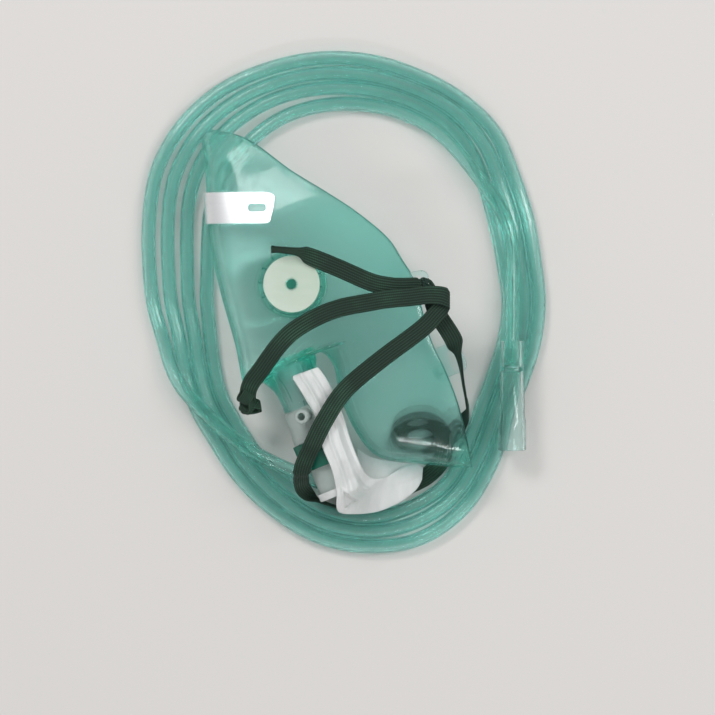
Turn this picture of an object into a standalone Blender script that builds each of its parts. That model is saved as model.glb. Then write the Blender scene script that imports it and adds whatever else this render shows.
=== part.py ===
"""Reservoir oxygen mask set lying on its cheek inside its coiled supply tube.

Metres, +Z up. The camera side is +Z, the strap side of the mask faces +X and the bridge of the nose +Y.
Lists of points are in millimetres and are scaled by MM where they are used.
"""

import math

import bmesh
import bpy
import numpy as np
from mathutils import Matrix, Vector
from mathutils.bvhtree import BVHTree

MM = 0.001
GAP = 0.3                        # clearance between pieces that touch

# Face piece: one row a section, from the bridge of the nose round to the chin.
# rim x, rim y, ridge x, ridge y, half height, middle height, squareness
SHELL_SECTIONS = (
    (-53.6, 82.3, -57.2, 79.2, 4.8, 12.4, 2.4),
    (-38.2, 78.1, -55.4, 68.5, 8.6, 16.0, 2.6),
    (-20.2, 65.1, -54.6, 51.7, 12.5, 17.3, 2.6),
    (-5.5, 55.9, -52.9, 32.8, 16.0, 18.8, 2.6),
    (7.1, 47.5, -48.7, 13.9, 17.5, 19.3, 2.6),
    (19.7, 37.0, -42.8, -7.1, 17.5, 19.3, 2.6),
    (26.0, 27.7, -38.6, -25.4, 17.5, 19.3, 2.8),
    (31.1, 19.3, -31.5, -23.3, 17.5, 19.3, 3.4),
    (33.6, 9.7, -20.2, -16.0, 17.5, 19.3, 3.8),
    (36.1, 0.0, -8.4, -10.1, 17.5, 19.3, 3.4),
    (39.5, -9.2, -2.1, -15.5, 17.5, 19.3, 2.8),
    (43.3, -16.8, 0.8, -28.1, 17.0, 19.3, 2.6),
    (47.9, -28.1, 7.1, -42.8, 15.0, 19.3, 2.6),
    (50.8, -37.8, 16.8, -53.8, 12.0, 18.3, 2.6),
    (53.3, -48.3, 34.4, -56.9, 9.5, 16.8, 2.6),
    (55.4, -58.0, 52.1, -58.4, 7.5, 14.4, 2.6),
)
SHELL_STEPS = 2                  # cross sections between two rows
SHELL_ARC = 26                   # facets from the near rim to the far rim
SHELL_WALL = 1.4
RIM_WALL = 2.0
TAB_SIZE = (13.0, 8.6)           # near strap tab, along and across the rim
TAB_CENTRE = (33.9, 17.0, 35.8)
TAB_HEADING = 100.0
TAB_SLOT = (9.4, 3.2)
TAB_THICK = 1.8
FAR_TAB_CENTRE = (46.0, -13.6, 3.0)
FAR_TAB_SIZE = (13.0, 14.0)
FAR_TAB_HEADING = 112.0

# Exhale valves, one in each cheek.
SEAT_CENTRE = (-18.9, 18.1)
SEAT_RADIUS = 14.0
SEAT_DEPTH = 3.2
SEAT_RISE = 0.9
VENT_COUNT = 6
VENT_RADIUS = 2.6
VENT_CIRCLE = 7.0
PEG = ((0.0, 2.7), (2.0, 2.7), (2.6, 2.3), (2.6, 2.1), (1.7, 1.9), (1.7, -1.0), (0.0, -1.0))
FLAP = ((2.1, 1.2), (2.1, 1.75), (11.8, 1.75), (11.8, 1.2))

# Nose clip.
CLIP_Y = (43.2, 56.2)
CLIP_CENTRE = (-45.0, 17.6)      # x and z that its section is drawn round
CLIP_REACH = 40.0                # degrees above the section's middle line where it ends
CLIP_THICK = 0.6
CLIP_END = (0.0, 0.8, 2.5, 5.5, 10.0, 15.0)  # degrees from an end at which its rounding is drawn
CLIP_SLOT = (-37.2, -29.6, 48.0, 51.4)

# Parts turned round the gas port's axis: (distance along it, radius).
PORT = (-20.6, -16.8, 19.3)
PORT_AXIS = (0.388, -0.922, 0.0)
SOCKET = ((-4.5, 0.0), (-4.5, 12.8), (1.0, 12.4), (5.0, 10.2), (9.0, 8.9), (17.0, 8.4), (17.0, 0.0))
SOCKET_BORE = 7.2
SOCKET_CUT = (-9.0, 20.0)
HOUSING = (
    (-1.0, 6.9), (17.3, 6.9), (17.3, 8.6), (24.0, 9.4), (31.0, 10.4), (31.0, 8.4), (44.0, 8.4),
    (56.0, 8.0), (56.0, 6.6), (30.6, 6.6), (30.6, 0.0), (29.4, 0.0), (29.4, 8.0), (20.0, 8.0),
    (17.5, 5.8), (-1.0, 5.8),
)
WEB_HOLES = 4
WEB_HOLE_RADIUS = 1.9
WEB_HOLE_CIRCLE = 4.1
COLLAR = ((31.3, 11.1), (43.0, 11.1), (43.0, 8.7), (31.3, 8.7))
INLET_FLAP = ((28.2, 0.0), (28.2, 7.6), (29.0, 7.6), (29.0, 0.0))
NIPPLE_T = 20.6
NIPPLE_LEAN = 8.0
NIPPLE_RADII = (2.9, 1.6)
NIPPLE_REACH = 19.4

# Reservoir bag: left edge x, y, z and right edge x, y, z of the folded film, then its thickness.
BAG_ROWS = (
    (-18.8, -20.6, 31.0, -7.3, -16.6, 30.2, 2.6),
    (-14.2, -28.2, 31.2, -2.6, -24.8, 29.4, 3.0),
    (-9.2, -37.2, 31.2, 2.2, -36.4, 28.2, 3.2),
    (-6.7, -48.6, 32.0, 5.4, -46.4, 28.4, 2.8),
    (-2.6, -58.6, 31.6, 8.8, -55.2, 26.8, 2.6),
    (-0.6, -67.6, 28.8, 11.8, -60.8, 19.8, 2.4),
    (0.0, -76.0, 24.0, 15.4, -62.6, 17.0, 1.8),
    (6.6, -77.6, 14.0, 19.6, -62.4, 11.2, 1.4),
    (16.4, -76.8, 10.4, 24.0, -59.8, 10.0, 1.2),
    (25.2, -73.2, 9.6, 28.6, -57.4, 9.6, 1.2),
    (32.4, -68.0, 8.2, 32.8, -57.0, 8.2, 1.2),
    (35.2, -63.6, 5.6, 35.6, -58.4, 6.0, 1.2),
)
BAG_STEPS = 3
BAG_PLEATS = 3
BAG_FACETS = 12
BAG_SLEEVE = ((50.0, 9.3), (60.0, 9.3), (60.0, 8.7), (50.0, 8.7))

# Head strap: x, y, z of its middle, the heading and the tilt in degrees of the line across it, and 1
# where it rests on what is below.
STRAP_WIDTH = 7.5
STRAP_THICK = 1.1
STRAP_STEPS = 3
STRAP = (
    (-27.3, 32.3, 39.0, 90, 62, 1), (-22.3, 31.9, 38.6, 88, 52, 1), (-16.0, 31.1, 38.0, 80, 26, 1),
    (-8.4, 28.1, 37.4, 68, 4, 1), (0.8, 24.4, 37.0, 65, 0, 1), (13.4, 18.9, 37.3, 68, 0, 1),
    (21.0, 17.2, 37.6, 78, 0, 1), (26.0, 16.8, 37.9, 88, 0, 1), (29.8, 16.9, 38.0, 96, 0, 0),
    (32.5, 17.0, 38.1, 100, 0, 0), (33.8, 17.0, 37.4, 100, 0, 0), (34.1, 17.0, 36.0, 100, 0, 0),
    (34.3, 17.0, 34.4, 98, 0, 0), (35.4, 16.6, 33.2, 92, 0, 0), (37.2, 15.0, 32.9, 76, 0, 0),
    (39.2, 11.0, 33.2, 52, 0, 0), (41.6, 5.2, 33.6, 40, 0, 0), (45.6, -1.0, 33.2, 37, 4, 0),
    (48.2, -5.6, 32.6, 34, 22, 0), (49.6, -10.0, 31.6, 26, 56, 0), (50.9, -15.6, 30.2, 4, 82, 0),
    (52.0, -22.7, 28.0, -60, 86, 0), (53.2, -29.2, 24.4, -84, 70, 0), (54.0, -33.2, 18.6, -88, 42, 0),
    (54.2, -36.2, 11.0, -88, 24, 0), (52.2, -39.2, 4.4, -66, 20, 0), (50.2, -42.2, 1.3, -58, 6, 0),
    (46.6, -45.4, 0.6, -60, 0, 0), (42.8, -47.6, 0.55, -70, 0, 0), (35.6, -49.6, 0.55, -84, 0, 0),
    (28.4, -48.8, 0.7, -118, 0, 0), (25.6, -44.8, 1.1, -176, 0, 0), (28.2, -40.6, 1.7, -230, 0, 0),
    (34.6, -38.6, 2.4, -262, 0, 0), (40.6, -40.0, 3.0, -296, 0, 0), (44.4, -45.0, 3.2, -334, 0, 0),
    (44.8, -50.6, 3.0, -365, 0, 0), (43.2, -55.6, 1.8, -385, 0, 0), (38.8, -60.8, 1.0, -412, 6, 0),
    (31.0, -66.4, 2.6, -426, 48, 0), (20.6, -72.8, 4.2, -436, 84, 0), (9.0, -75.7, 4.2, -446, 88, 0),
    (0.6, -75.1, 4.2, -458, 88, 0), (-5.0, -73.4, 4.4, -468, 87, 0), (-9.2, -71.7, 6.8, -478, 80, 0),
    (-12.6, -69.4, 12.6, -500, 50, 0), (-14.7, -66.4, 18.2, -524, 12, 0), (-15.2, -63.0, 23.6, -534, 0, 0),
    (-14.8, -59.2, 28.6, -540, 0, 1), (-13.2, -54.6, 31.4, -550, 0, 1), (-10.9, -49.6, 33.6, -557, 0, 1),
    (-5.5, -38.6, 34.2, -566, 0, 1), (2.9, -26.0, 34.6, -574, 0, 1), (17.6, -13.4, 36.8, -584, 0, 1),
    (34.4, -0.8, 37.6, -588, 0, 1), (41.0, 6.0, 38.0, -594, 0, 0), (43.8, 8.9, 38.1, -612, 0, 0),
    (45.2, 10.1, 38.5, -626, 0, 0), (45.9, 11.2, 39.4, -630, 0, 0), (45.2, 12.2, 40.3, -636, 0, 0),
    (43.6, 13.0, 40.7, -646, 0, 0), (41.0, 13.4, 40.8, -642, 0, 0), (36.5, 13.4, 40.6, -632, 0, 0),
    (30.2, 12.6, 40.2, -626, 0, 0), (21.8, 11.8, 39.8, -622, 0, 0), (13.4, 10.5, 39.2, -618, 0, 0),
    (-3.4, 6.7, 37.4, -606, 0, 1), (-20.2, -2.9, 35.4, -589, 0, 1), (-31.9, -17.6, 31.8, -570, 0, 1),
    (-36.1, -23.5, 30.0, -560, 0, 1), (-37.4, -28.4, 25.6, -552, 0, 0), (-36.4, -32.4, 21.0, -545, 0, 0),
)
KNOT = (                          # centre and radii of its turns
    ((-37.9, -28.4, 26.4), (4.0, 2.8, 2.9)),
    ((-36.1, -33.4, 20.6), (4.9, 3.6, 3.8)),
)

# Tube: the coil's outer shape is drawn round its centre at even angles.
TUBE_RADIUS = 3.0
COIL_CENTRE = (2.1, 10.9)
COIL_STEP = 12.0                 # degrees between two rows
COIL_ROWS = (                    # outer radius, inner radius, height
    (84.7, 66.9, 6.2), (84.6, 66.6, 6.2), (87.0, 68.4, 6.2), (90.5, 71.3, 12.2), (96.2, 76.4, 12.2),
    (97.9, 82.0, 10.4), (98.8, 84.0, 7.4), (101.5, 83.0, 6.2), (103.6, 81.4, 6.2), (104.5, 79.0, 6.2),
    (104.8, 75.1, 6.2), (102.9, 71.2, 6.2), (98.6, 65.3, 6.2), (91.5, 59.3, 6.2), (85.5, 55.8, 6.2),
    (81.6, 55.0, 6.2), (78.5, 55.5, 8.0), (79.2, 58.4, 12.0), (80.4, 63.2, 12.2), (81.6, 67.1, 12.2),
    (86.4, 72.9, 11.4), (92.3, 79.4, 9.8), (99.1, 86.2, 9.6), (103.9, 89.6, 9.6), (106.1, 88.4, 9.0),
    (102.6, 84.9, 6.6), (94.9, 76.4, 6.2), (87.2, 70.0, 6.2), (84.7, 67.3, 6.2), (84.6, 66.9, 6.2),
)
COIL_START_ANGLE = 28.0          # where the first turn climbs on the others
TUBE_START = (
    (72.7, -6.0, 12.1), (72.7, 2.0, 11.9), (72.8, 10.0, 11.2), (73.2, 18.0, 10.4), (73.6, 26.0, 9.8),
    (74.0, 34.0, 9.6), (74.0, 41.0, 9.6), (73.3, 47.4, 9.6),
)
TUBE_TAIL = (
    (-18.2, -60.0, 4.2), (-12.6, -63.4, 3.6), (-5.6, -66.2, 3.3), (1.4, -68.6, 3.6), (8.5, -68.8, 4.4),
    (12.3, -67.2, 4.4), (16.2, -65.5, 4.4),
)

# Connectors: (distance along the axis, radius).
SOURCE_FROM = (72.7, -5.4, 12.1)
SOURCE_TO = (72.7, -51.2, 12.1)
SOURCE = (
    (0.0, 4.6), (0.0, 5.2), (2.5, 5.2), (3.0, 4.9), (32.0, 5.4), (33.5, 5.75), (45.8, 5.75), (45.8, 4.6),
    (24.0, 3.9), (13.0, 3.7), (12.0, 2.2), (11.0, 2.2), (11.0, 3.3), (0.0, 3.4),
)
MASK_END_FROM = (11.3, -67.6, 4.4)
MASK_END_TO = (29.2, -59.9, 4.4)
MASK_END = ((0.0, 3.4), (0.0, 4.2), (19.4, 4.2), (19.4, 3.0), (8.0, 2.9), (7.0, 1.6), (6.4, 1.6), (6.4, 3.4))

# From the table the points are drawn on to the middle of the mask's own box.
TO_MIDDLE = (0.9, -2.35, 0.0)

COLOURS = {
    "green_vinyl": ((0.10, 0.52, 0.44), 0.28, 0.0),
    "deep_green": ((0.01, 0.16, 0.11), 0.35, 0.0),
    "frosted_plastic": ((0.72, 0.78, 0.75), 0.45, 0.0),
    "film": ((0.85, 0.86, 0.85), 0.40, 0.0),
    "strap": ((0.02, 0.05, 0.035), 0.85, 0.0),
    "aluminium": ((0.78, 0.79, 0.80), 0.35, 1.0),
    "tube": ((0.12, 0.50, 0.43), 0.25, 0.0),
}


def material(name, colour):
    """One Principled material for one piece."""
    base, roughness, metallic = COLOURS[colour]
    made = bpy.data.materials.new(name + "_finish")
    made.use_nodes = True
    shader = made.node_tree.nodes["Principled BSDF"]
    shader.inputs["Base Color"].default_value = (*base, 1.0)
    shader.inputs["Roughness"].default_value = roughness
    shader.inputs["Metallic"].default_value = metallic
    return made


def solid(name, points, faces, colour=None):
    """Mesh object from points in millimetres, its faces turned outwards. No colour makes a helper."""
    mesh = bpy.data.meshes.new(name)
    mesh.from_pydata([tuple(MM * value for value in point) for point in points], [], faces)
    work = bmesh.new()
    work.from_mesh(mesh)
    bmesh.ops.recalc_face_normals(work, faces=work.faces)
    if work.calc_volume(signed=True) < 0:
        bmesh.ops.reverse_faces(work, faces=work.faces)
    work.to_mesh(mesh)
    work.free()
    made = bpy.data.objects.new(name, mesh)
    bpy.context.collection.objects.link(made)
    if colour is None:
        made.hide_render = True
        made.display_type = "WIRE"
    else:
        mesh.materials.append(material(name, colour))
    return made


def combine(target, helper, operation):
    """Adds an exact Boolean with a helper object."""
    step = target.modifiers.new(operation.title(), "BOOLEAN")
    step.operation = operation
    step.solver = "EXACT"
    step.object = helper


def curve_through(rows, steps, closed=False):
    """Rows of numbers on a Catmull-Rom curve through the rows given."""
    rows = np.asarray(rows, float)
    count = len(rows)
    found = []
    for i in range(count if closed else count - 1):
        if closed:
            p0, p1, p2, p3 = (rows[(i + k) % count] for k in (-1, 0, 1, 2))
        else:
            p0, p1, p2, p3 = (rows[min(max(i + k, 0), count - 1)] for k in (-1, 0, 1, 2))
        for k in range(steps):
            t = k / steps
            found.append(0.5 * (2 * p1 + (p2 - p0) * t + (2 * p0 - 5 * p1 + 4 * p2 - p3) * t * t
                                + (3 * p1 - p0 - 3 * p2 + p3) * t ** 3))
    if not closed:
        found.append(rows[-1])
    return np.array(found)


def loft(name, loops, colour=None, closed=False):
    """Closed solid through loops of equal count, capped at both ends or joined round."""
    count = len(loops[0])
    points = [point for loop in loops for point in loop]
    faces = []
    last = len(loops) if closed else len(loops) - 1
    for i in range(last):
        a, b = i * count, (i + 1) % len(loops) * count
        faces += [(a + k, a + (k + 1) % count, b + (k + 1) % count, b + k) for k in range(count)]
    if not closed:
        faces.append(tuple(range(count)))
        faces.append(tuple(range((len(loops) - 1) * count, len(loops) * count)))
    return solid(name, points, faces, colour)


def turned(name, outline, base, axis, colour=None, facets=40):
    """Solid of revolution of (distance, radius) points round the axis that starts at base."""
    base, axis = np.array(base, float), Vector(axis).normalized()
    side = axis.orthogonal().normalized()
    other = axis.cross(side)
    axis, side, other = np.array(axis), np.array(side), np.array(other)
    points, rings = [], []
    for along, radius in outline:
        if radius == 0.0:
            rings.append([len(points)] * facets)
            points.append(base + axis * along)
            continue
        rings.append(list(range(len(points), len(points) + facets)))
        for k in range(facets):
            turn = 2 * math.pi * k / facets
            points.append(base + axis * along + radius * (side * math.cos(turn) + other * math.sin(turn)))
    faces = []
    for i, ring in enumerate(rings):
        after = rings[(i + 1) % len(rings)]
        for k in range(facets):
            corners = (ring[k], ring[(k + 1) % facets], after[(k + 1) % facets], after[k])
            face = tuple(dict.fromkeys(corners))
            if len(face) > 2:
                faces.append(face)
    return solid(name, points, faces, colour)


def rod(name, start, end, radius, facets=24):
    """Round helper between two points."""
    start, end = Vector(start), Vector(end)
    side = (end - start).orthogonal().normalized()
    other = (end - start).normalized().cross(side)
    turns = [2 * math.pi * (k + 0.3) / facets for k in range(facets)]
    return loft(name, [[place + radius * (side * math.cos(turn) + other * math.sin(turn)) for turn in turns]
                       for place in (start, end)])


def block(name, centre, size, heading, corner, colour=None, facets=6):
    """Upright rounded block: size along the heading, across it, and height."""
    length, width, height = (value / 2 for value in size)
    turn = math.radians(heading)
    outline = []
    for quarter, (sx, sy) in enumerate(((1, 1), (-1, 1), (-1, -1), (1, -1))):
        for k in range(facets + 1):
            angle = math.pi / 2 * (quarter + k / facets)
            x = sx * (length - corner) + corner * math.cos(angle)
            y = sy * (width - corner) + corner * math.sin(angle)
            outline.append((centre[0] + x * math.cos(turn) - y * math.sin(turn),
                            centre[1] + x * math.sin(turn) + y * math.cos(turn)))
    return loft(name, [[(x, y, centre[2] + side * height) for x, y in outline] for side in (-1, 1)], colour)


def surface_of(*objects):
    """What rays are cast on, in metres."""
    bpy.context.view_layer.update()
    graph = bpy.context.evaluated_depsgraph_get()
    return [BVHTree.FromObject(each, graph) for each in objects]


def height_on(trees, x, y, floor=0.0):
    """Top of the pieces at a place, in millimetres."""
    top = floor
    for tree in trees:
        hit = tree.ray_cast(Vector((x * MM, y * MM, 0.2)), Vector((0, 0, -1)))[0]
        if hit is not None:
            top = max(top, hit.z / MM)
    return top


def height_near(trees, x, y, reach):
    """Top of the pieces within reach of a place."""
    return max(height_on(trees, x + a * reach, y + b * reach)
               for a, b in ((0, 0), (1, 0), (-1, 0), (0, 1), (0, -1)))


def shell_grids():
    """Outer and inner points of the face piece, a row a section from the near rim to the far one."""
    rows = curve_through(SHELL_SECTIONS, SHELL_STEPS)
    run = np.gradient(rows[:, 2:4], axis=0)
    inward = np.column_stack([-run[:, 1], run[:, 0]]) / np.linalg.norm(run, axis=1, keepdims=True)
    grids = np.empty((2, len(rows), SHELL_ARC + 1, 3))
    for i, (rx, ry, px, py, half, middle, power) in enumerate(rows):
        for j in range(SHELL_ARC + 1):
            turn = math.pi * (j / SHELL_ARC - 0.5)
            depth = abs(math.cos(turn)) ** (2 / power)
            rise = -math.copysign(abs(math.sin(turn)) ** (2 / power), turn)
            wall = SHELL_WALL + (RIM_WALL - SHELL_WALL) * (1 - depth) ** 4
            for grid, off in zip(grids, (0.0, wall)):
                x, y = px + inward[i, 0] * off, py + inward[i, 1] * off
                grid[i, j] = (rx + (x - rx) * depth, ry + (y - ry) * depth, middle + (half - off) * rise)
    return grids


def face_shell():
    """The face piece's wall, thicker at its rim."""
    outer, inner = shell_grids()
    rows, columns = outer.shape[:2]
    points = np.concatenate([outer.reshape(-1, 3), inner.reshape(-1, 3)])
    away = rows * columns
    faces = []
    for i in range(rows - 1):
        for j in range(columns - 1):
            a = i * columns + j
            quad = (a, a + 1, a + columns + 1, a + columns)
            faces += [quad, tuple(away + k for k in reversed(quad))]
    edge = [j for j in range(columns)] + [i * columns + columns - 1 for i in range(1, rows)]
    edge += [(rows - 1) * columns + j for j in range(columns - 2, -1, -1)]
    edge += [i * columns for i in range(rows - 2, 0, -1)]
    for a, b in zip(edge, edge[1:] + edge[:1]):
        faces.append((a, b, away + b, away + a))
    return solid("mask_shell", points, faces, "green_vinyl")


def add_tabs(shell):
    """Strap tabs on the two rims."""
    near = block("near_tab", TAB_CENTRE, (*TAB_SIZE, TAB_THICK), TAB_HEADING, 3.0)
    combine(shell, near, "UNION")
    far = block("far_tab", FAR_TAB_CENTRE, (*FAR_TAB_SIZE, TAB_THICK), FAR_TAB_HEADING, 3.0)
    combine(shell, far, "UNION")
    for name, centre in (("near_slot", TAB_CENTRE), ("far_slot", FAR_TAB_CENTRE)):
        heading = TAB_HEADING if name == "near_slot" else FAR_TAB_HEADING
        slot = block(name, centre, (*TAB_SLOT, 3 * TAB_THICK), heading, 1.4)
        if name == "far_slot":
            slot.location.x = 2.5 * MM
        combine(shell, slot, "DIFFERENCE")


def seat_frame(tree, side):
    """Foot and outward direction of a valve seat on the near (+1) or far (-1) cheek."""
    start = Vector((SEAT_CENTRE[0] * MM, SEAT_CENTRE[1] * MM, side * 0.2))
    place, normal = tree.ray_cast(start, Vector((0, 0, -side)))[:2]
    if normal.z * side < 0:
        normal = -normal
    return place / MM, normal.normalized()


def add_seats(shell):
    """Valve seats with vents and a peg, and the flap on each."""
    tree = surface_of(shell)[0]
    frames = [seat_frame(tree, side) for side in (1, -1)]
    for label, (foot, out) in zip(("near", "far"), frames):
        disc = rod(label + "_seat", foot - out * SEAT_DEPTH, foot + out * SEAT_RISE, SEAT_RADIUS, 40)
        combine(shell, disc, "UNION")
    for label, (foot, out) in zip(("near", "far"), frames):
        side = out.orthogonal().normalized()
        for k in range(VENT_COUNT):
            spot = foot + Matrix.Rotation(2 * math.pi * (k + 0.2) / VENT_COUNT, 3, out) @ side * VENT_CIRCLE
            vent = rod(f"{label}_vent_{k}", spot - out * 6, spot + out * 3, VENT_RADIUS, 16)
            combine(shell, vent, "DIFFERENCE")
        peg = turned(label + "_peg", [(along, radius) for radius, along in PEG], foot, out, None, 20)
        combine(shell, peg, "UNION")
        turned("exhale_valve_" + label, [(along, radius) for radius, along in FLAP], foot, out,
               "frosted_plastic", 48)


def add_socket(shell):
    """Socket under the nose that takes the valve housing."""
    combine(shell, turned("socket_body", SOCKET, PORT, PORT_AXIS), "UNION")
    axis = Vector(PORT_AXIS).normalized()
    start, end = (Vector(PORT) + axis * along for along in SOCKET_CUT)
    combine(shell, rod("socket_bore", start, end, SOCKET_BORE, 42), "DIFFERENCE")


def nose_clip(shell):
    """Aluminium strip bent over the bridge, following the face piece's outer surface."""
    tree = surface_of(shell)[0]
    rows, plain = 4, 24
    cx, cz = CLIP_CENTRE
    first = CLIP_REACH + CLIP_END[-1]
    angles = [CLIP_REACH + step for step in CLIP_END[:-1]]
    angles += [first + (360 - 2 * first) * k / plain for k in range(plain + 1)]
    angles += [360 - CLIP_REACH - step for step in CLIP_END[-2::-1]]
    spans = len(angles) - 1
    middle, half = sum(CLIP_Y) / 2, (CLIP_Y[1] - CLIP_Y[0]) / 2
    sheets = ([], [])
    for k, angle in enumerate(angles):
        out = Vector((math.cos(math.radians(angle)), 0, math.sin(math.radians(angle))))
        near_end = min(1.0, min(angle - CLIP_REACH, 360 - CLIP_REACH - angle) / CLIP_END[-1])
        shrink = max(0.3, math.sqrt(1 - (1 - near_end) ** 2))
        for i in range(rows + 1):
            y = middle + half * shrink * (2 * i / rows - 1)
            start = Vector((cx, y, cz)) * MM + out * 0.08
            hit = tree.ray_cast(start, -out)[0] / MM
            for sheet, lift in zip(sheets, (GAP + 0.3, GAP + 0.3 + CLIP_THICK)):
                sheet.append(hit + out * lift)
    columns = rows + 1
    points = sheets[0] + sheets[1]
    away = len(sheets[0])
    faces = []
    for k in range(spans):
        for i in range(rows):
            a = k * columns + i
            quad = (a, a + 1, a + columns + 1, a + columns)
            faces += [quad, tuple(away + v for v in reversed(quad))]
    edge = list(range(columns)) + [k * columns + rows for k in range(1, spans + 1)]
    edge += [spans * columns + i for i in range(rows - 1, -1, -1)]
    edge += [k * columns for k in range(spans - 1, 0, -1)]
    faces += [(a, b, away + b, away + a) for a, b in zip(edge, edge[1:] + edge[:1])]
    clip = solid("nose_clip", points, faces, "aluminium")
    x0, x1, y0, y1 = CLIP_SLOT
    slot = block("clip_slot", ((x0 + x1) / 2, (y0 + y1) / 2, 18.0), (x1 - x0, y1 - y0, 60.0), 0.0, 1.5)
    combine(clip, slot, "DIFFERENCE")
    return clip


def valve_group():
    """Housing with its nipple, the collar round it and the non-return flap inside."""
    housing = turned("valve_housing", HOUSING, PORT, PORT_AXIS, "frosted_plastic")
    axis = Vector(PORT_AXIS).normalized()
    foot = Vector(PORT) + axis * NIPPLE_T
    lean = Matrix.Rotation(math.radians(NIPPLE_LEAN), 3, axis) @ Vector((0, 0, 1))
    outer, bore = NIPPLE_RADII
    combine(housing, rod("nipple", foot + lean * 8.6, foot + lean * NIPPLE_REACH, outer), "UNION")
    tip = foot + lean * (NIPPLE_REACH + 2)
    combine(housing, rod("nipple_bore", foot + lean * 4, tip, bore, 18), "DIFFERENCE")
    side = axis.orthogonal().normalized()
    for k in range(WEB_HOLES):
        spot = foot + Matrix.Rotation(2 * math.pi * k / WEB_HOLES, 3, axis) @ side * WEB_HOLE_CIRCLE
        start = spot + axis * (27.0 - NIPPLE_T)
        combine(housing, rod(f"web_hole_{k}", start, start + axis * 6, WEB_HOLE_RADIUS, 16), "DIFFERENCE")
    turned("housing_collar", COLLAR, PORT, PORT_AXIS, "deep_green")
    turned("inlet_valve", INLET_FLAP, PORT, PORT_AXIS, "frosted_plastic", 48)
    return housing


def reservoir_bag(trees):
    """Film bag: pleated strip over the housing, its turn at the bottom, and the panel under the chin."""
    rows = curve_through(BAG_ROWS, BAG_STEPS)
    loops = []
    for row in rows:
        left, right, thick = np.array(row[0:3]), np.array(row[3:6]), row[6]
        depth = 0.28 * thick
        upper, lower = [], []
        for k in range(BAG_FACETS + 1):
            v = k / BAG_FACETS
            wave = depth * (0.5 - 0.5 * math.cos(2 * math.pi * BAG_PLEATS * v))
            place = left + (right - left) * v
            place[2] = max(place[2], height_near(trees, place[0], place[1], 1.6) + GAP + 0.35 + thick)
            upper.append(place - np.array([0, 0, wave]))
            lower.append(place - np.array([0, 0, thick]))
        loops.append(upper + lower[::-1])
    bag = loft("reservoir_bag", loops, "film")
    combine(bag, turned("sleeve", BAG_SLEEVE, PORT, PORT_AXIS), "UNION")
    return bag


def strap_sections(trees):
    """Middle points and across lines of the strap, lifted clear where it rests."""
    rows = curve_through(STRAP, STRAP_STEPS)
    across = np.array([(math.cos(math.radians(h)) * math.cos(math.radians(t)),
                        math.sin(math.radians(h)) * math.cos(math.radians(t)),
                        math.sin(math.radians(t))) for h, t in rows[:, 3:5]])
    middle = rows[:, :3].copy()
    for i in np.flatnonzero(rows[:, 5] > 0.5):
        needed = max(
            height_near(trees, *(middle[i] + across[i] * reach * STRAP_WIDTH)[:2], 1.8)
            - across[i][2] * reach * STRAP_WIDTH
            for reach in (-0.5, -0.25, 0.0, 0.25, 0.5)
        )
        middle[i, 2] = max(middle[i, 2], needed + GAP * (2 + abs(across[i][2])) + STRAP_THICK / 2)
    return middle, across


def head_strap(trees):
    """Flat elastic, swept with its own across line so that it can fold and stand on edge."""
    middle, across = strap_sections(trees)
    tangent = np.gradient(middle, axis=0)
    tangent /= np.linalg.norm(tangent, axis=1, keepdims=True)
    loops = []
    for place, line, along in zip(middle, across, tangent):
        face = np.cross(along, line)
        spread = np.linalg.norm(face)
        face /= spread
        wide = line * STRAP_WIDTH / 2 / max(spread, 0.6)
        deep = face * STRAP_THICK / 2
        loop = [place - wide - deep, place + wide - deep, place + wide + deep, place - wide + deep]
        sunk = min(0.0, *(corner[2] for corner in loop))
        loops.append([corner - np.array([0, 0, sunk]) for corner in loop])
    strap = loft("head_strap", loops, "strap")
    for k, (centre, radii) in enumerate(KNOT):
        lump = bmesh.new()
        bmesh.ops.create_icosphere(lump, subdivisions=2, radius=1.0)
        points = [[c + r * v for c, r, v in zip(centre, radii, vert.co)] for vert in lump.verts]
        faces = [tuple(vert.index for vert in face.verts) for face in lump.faces]
        lump.free()
        combine(strap, solid(f"knot_{k}", points, faces), "UNION")
    return strap


def coil():
    """Outer shape of the tube's turns, with the step where the first turn climbs on the rest."""
    rows = curve_through(COIL_ROWS, 2, closed=True)
    angles = np.arange(len(rows)) * COIL_STEP / 2
    stations = [(angle, *row) for angle, row in zip(angles, rows) if abs(angle - COIL_START_ANGLE) > 2]
    low = high = None
    for station in stations:
        if station[0] < COIL_START_ANGLE:
            low = station
        elif high is None:
            high = station
    share = (COIL_START_ANGLE - low[0]) / (high[0] - low[0])
    radii = [low[k] + (high[k] - low[k]) * share for k in (1, 2)]
    stations = [s for s in stations if s[0] < COIL_START_ANGLE] + [
        (COIL_START_ANGLE, *radii, 6.2), (COIL_START_ANGLE + 0.2, *radii, 12.2),
    ] + [(s[0], s[1], s[2], max(s[3], 12.2) if s[0] < 48 else s[3]) for s in stations
         if s[0] > COIL_START_ANGLE]
    loops = []
    for angle, outer, inner, height in stations:
        if angle < COIL_START_ANGLE or angle > 336:
            height = 6.2
        turn = math.radians(angle)
        reach, half = (outer + inner) / 2, (outer - inner) / 2
        corner = min(2.2, height / 2 - 0.3)
        loop = []
        for quarter, (sx, sz) in enumerate(((1, 1), (-1, 1), (-1, -1), (1, -1))):
            for k in range(3):
                bend = math.pi / 2 * (quarter + k / 2)
                across = sx * (half - corner) + corner * math.cos(bend)
                up = height / 2 + sz * (height / 2 - corner) + corner * math.sin(bend)
                loop.append((COIL_CENTRE[0] + (reach + across) * math.cos(turn),
                             COIL_CENTRE[1] + (reach + across) * math.sin(turn), up))
        loops.append(loop)
    return loft("oxygen_tube_coil", loops, "tube", closed=True)


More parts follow.
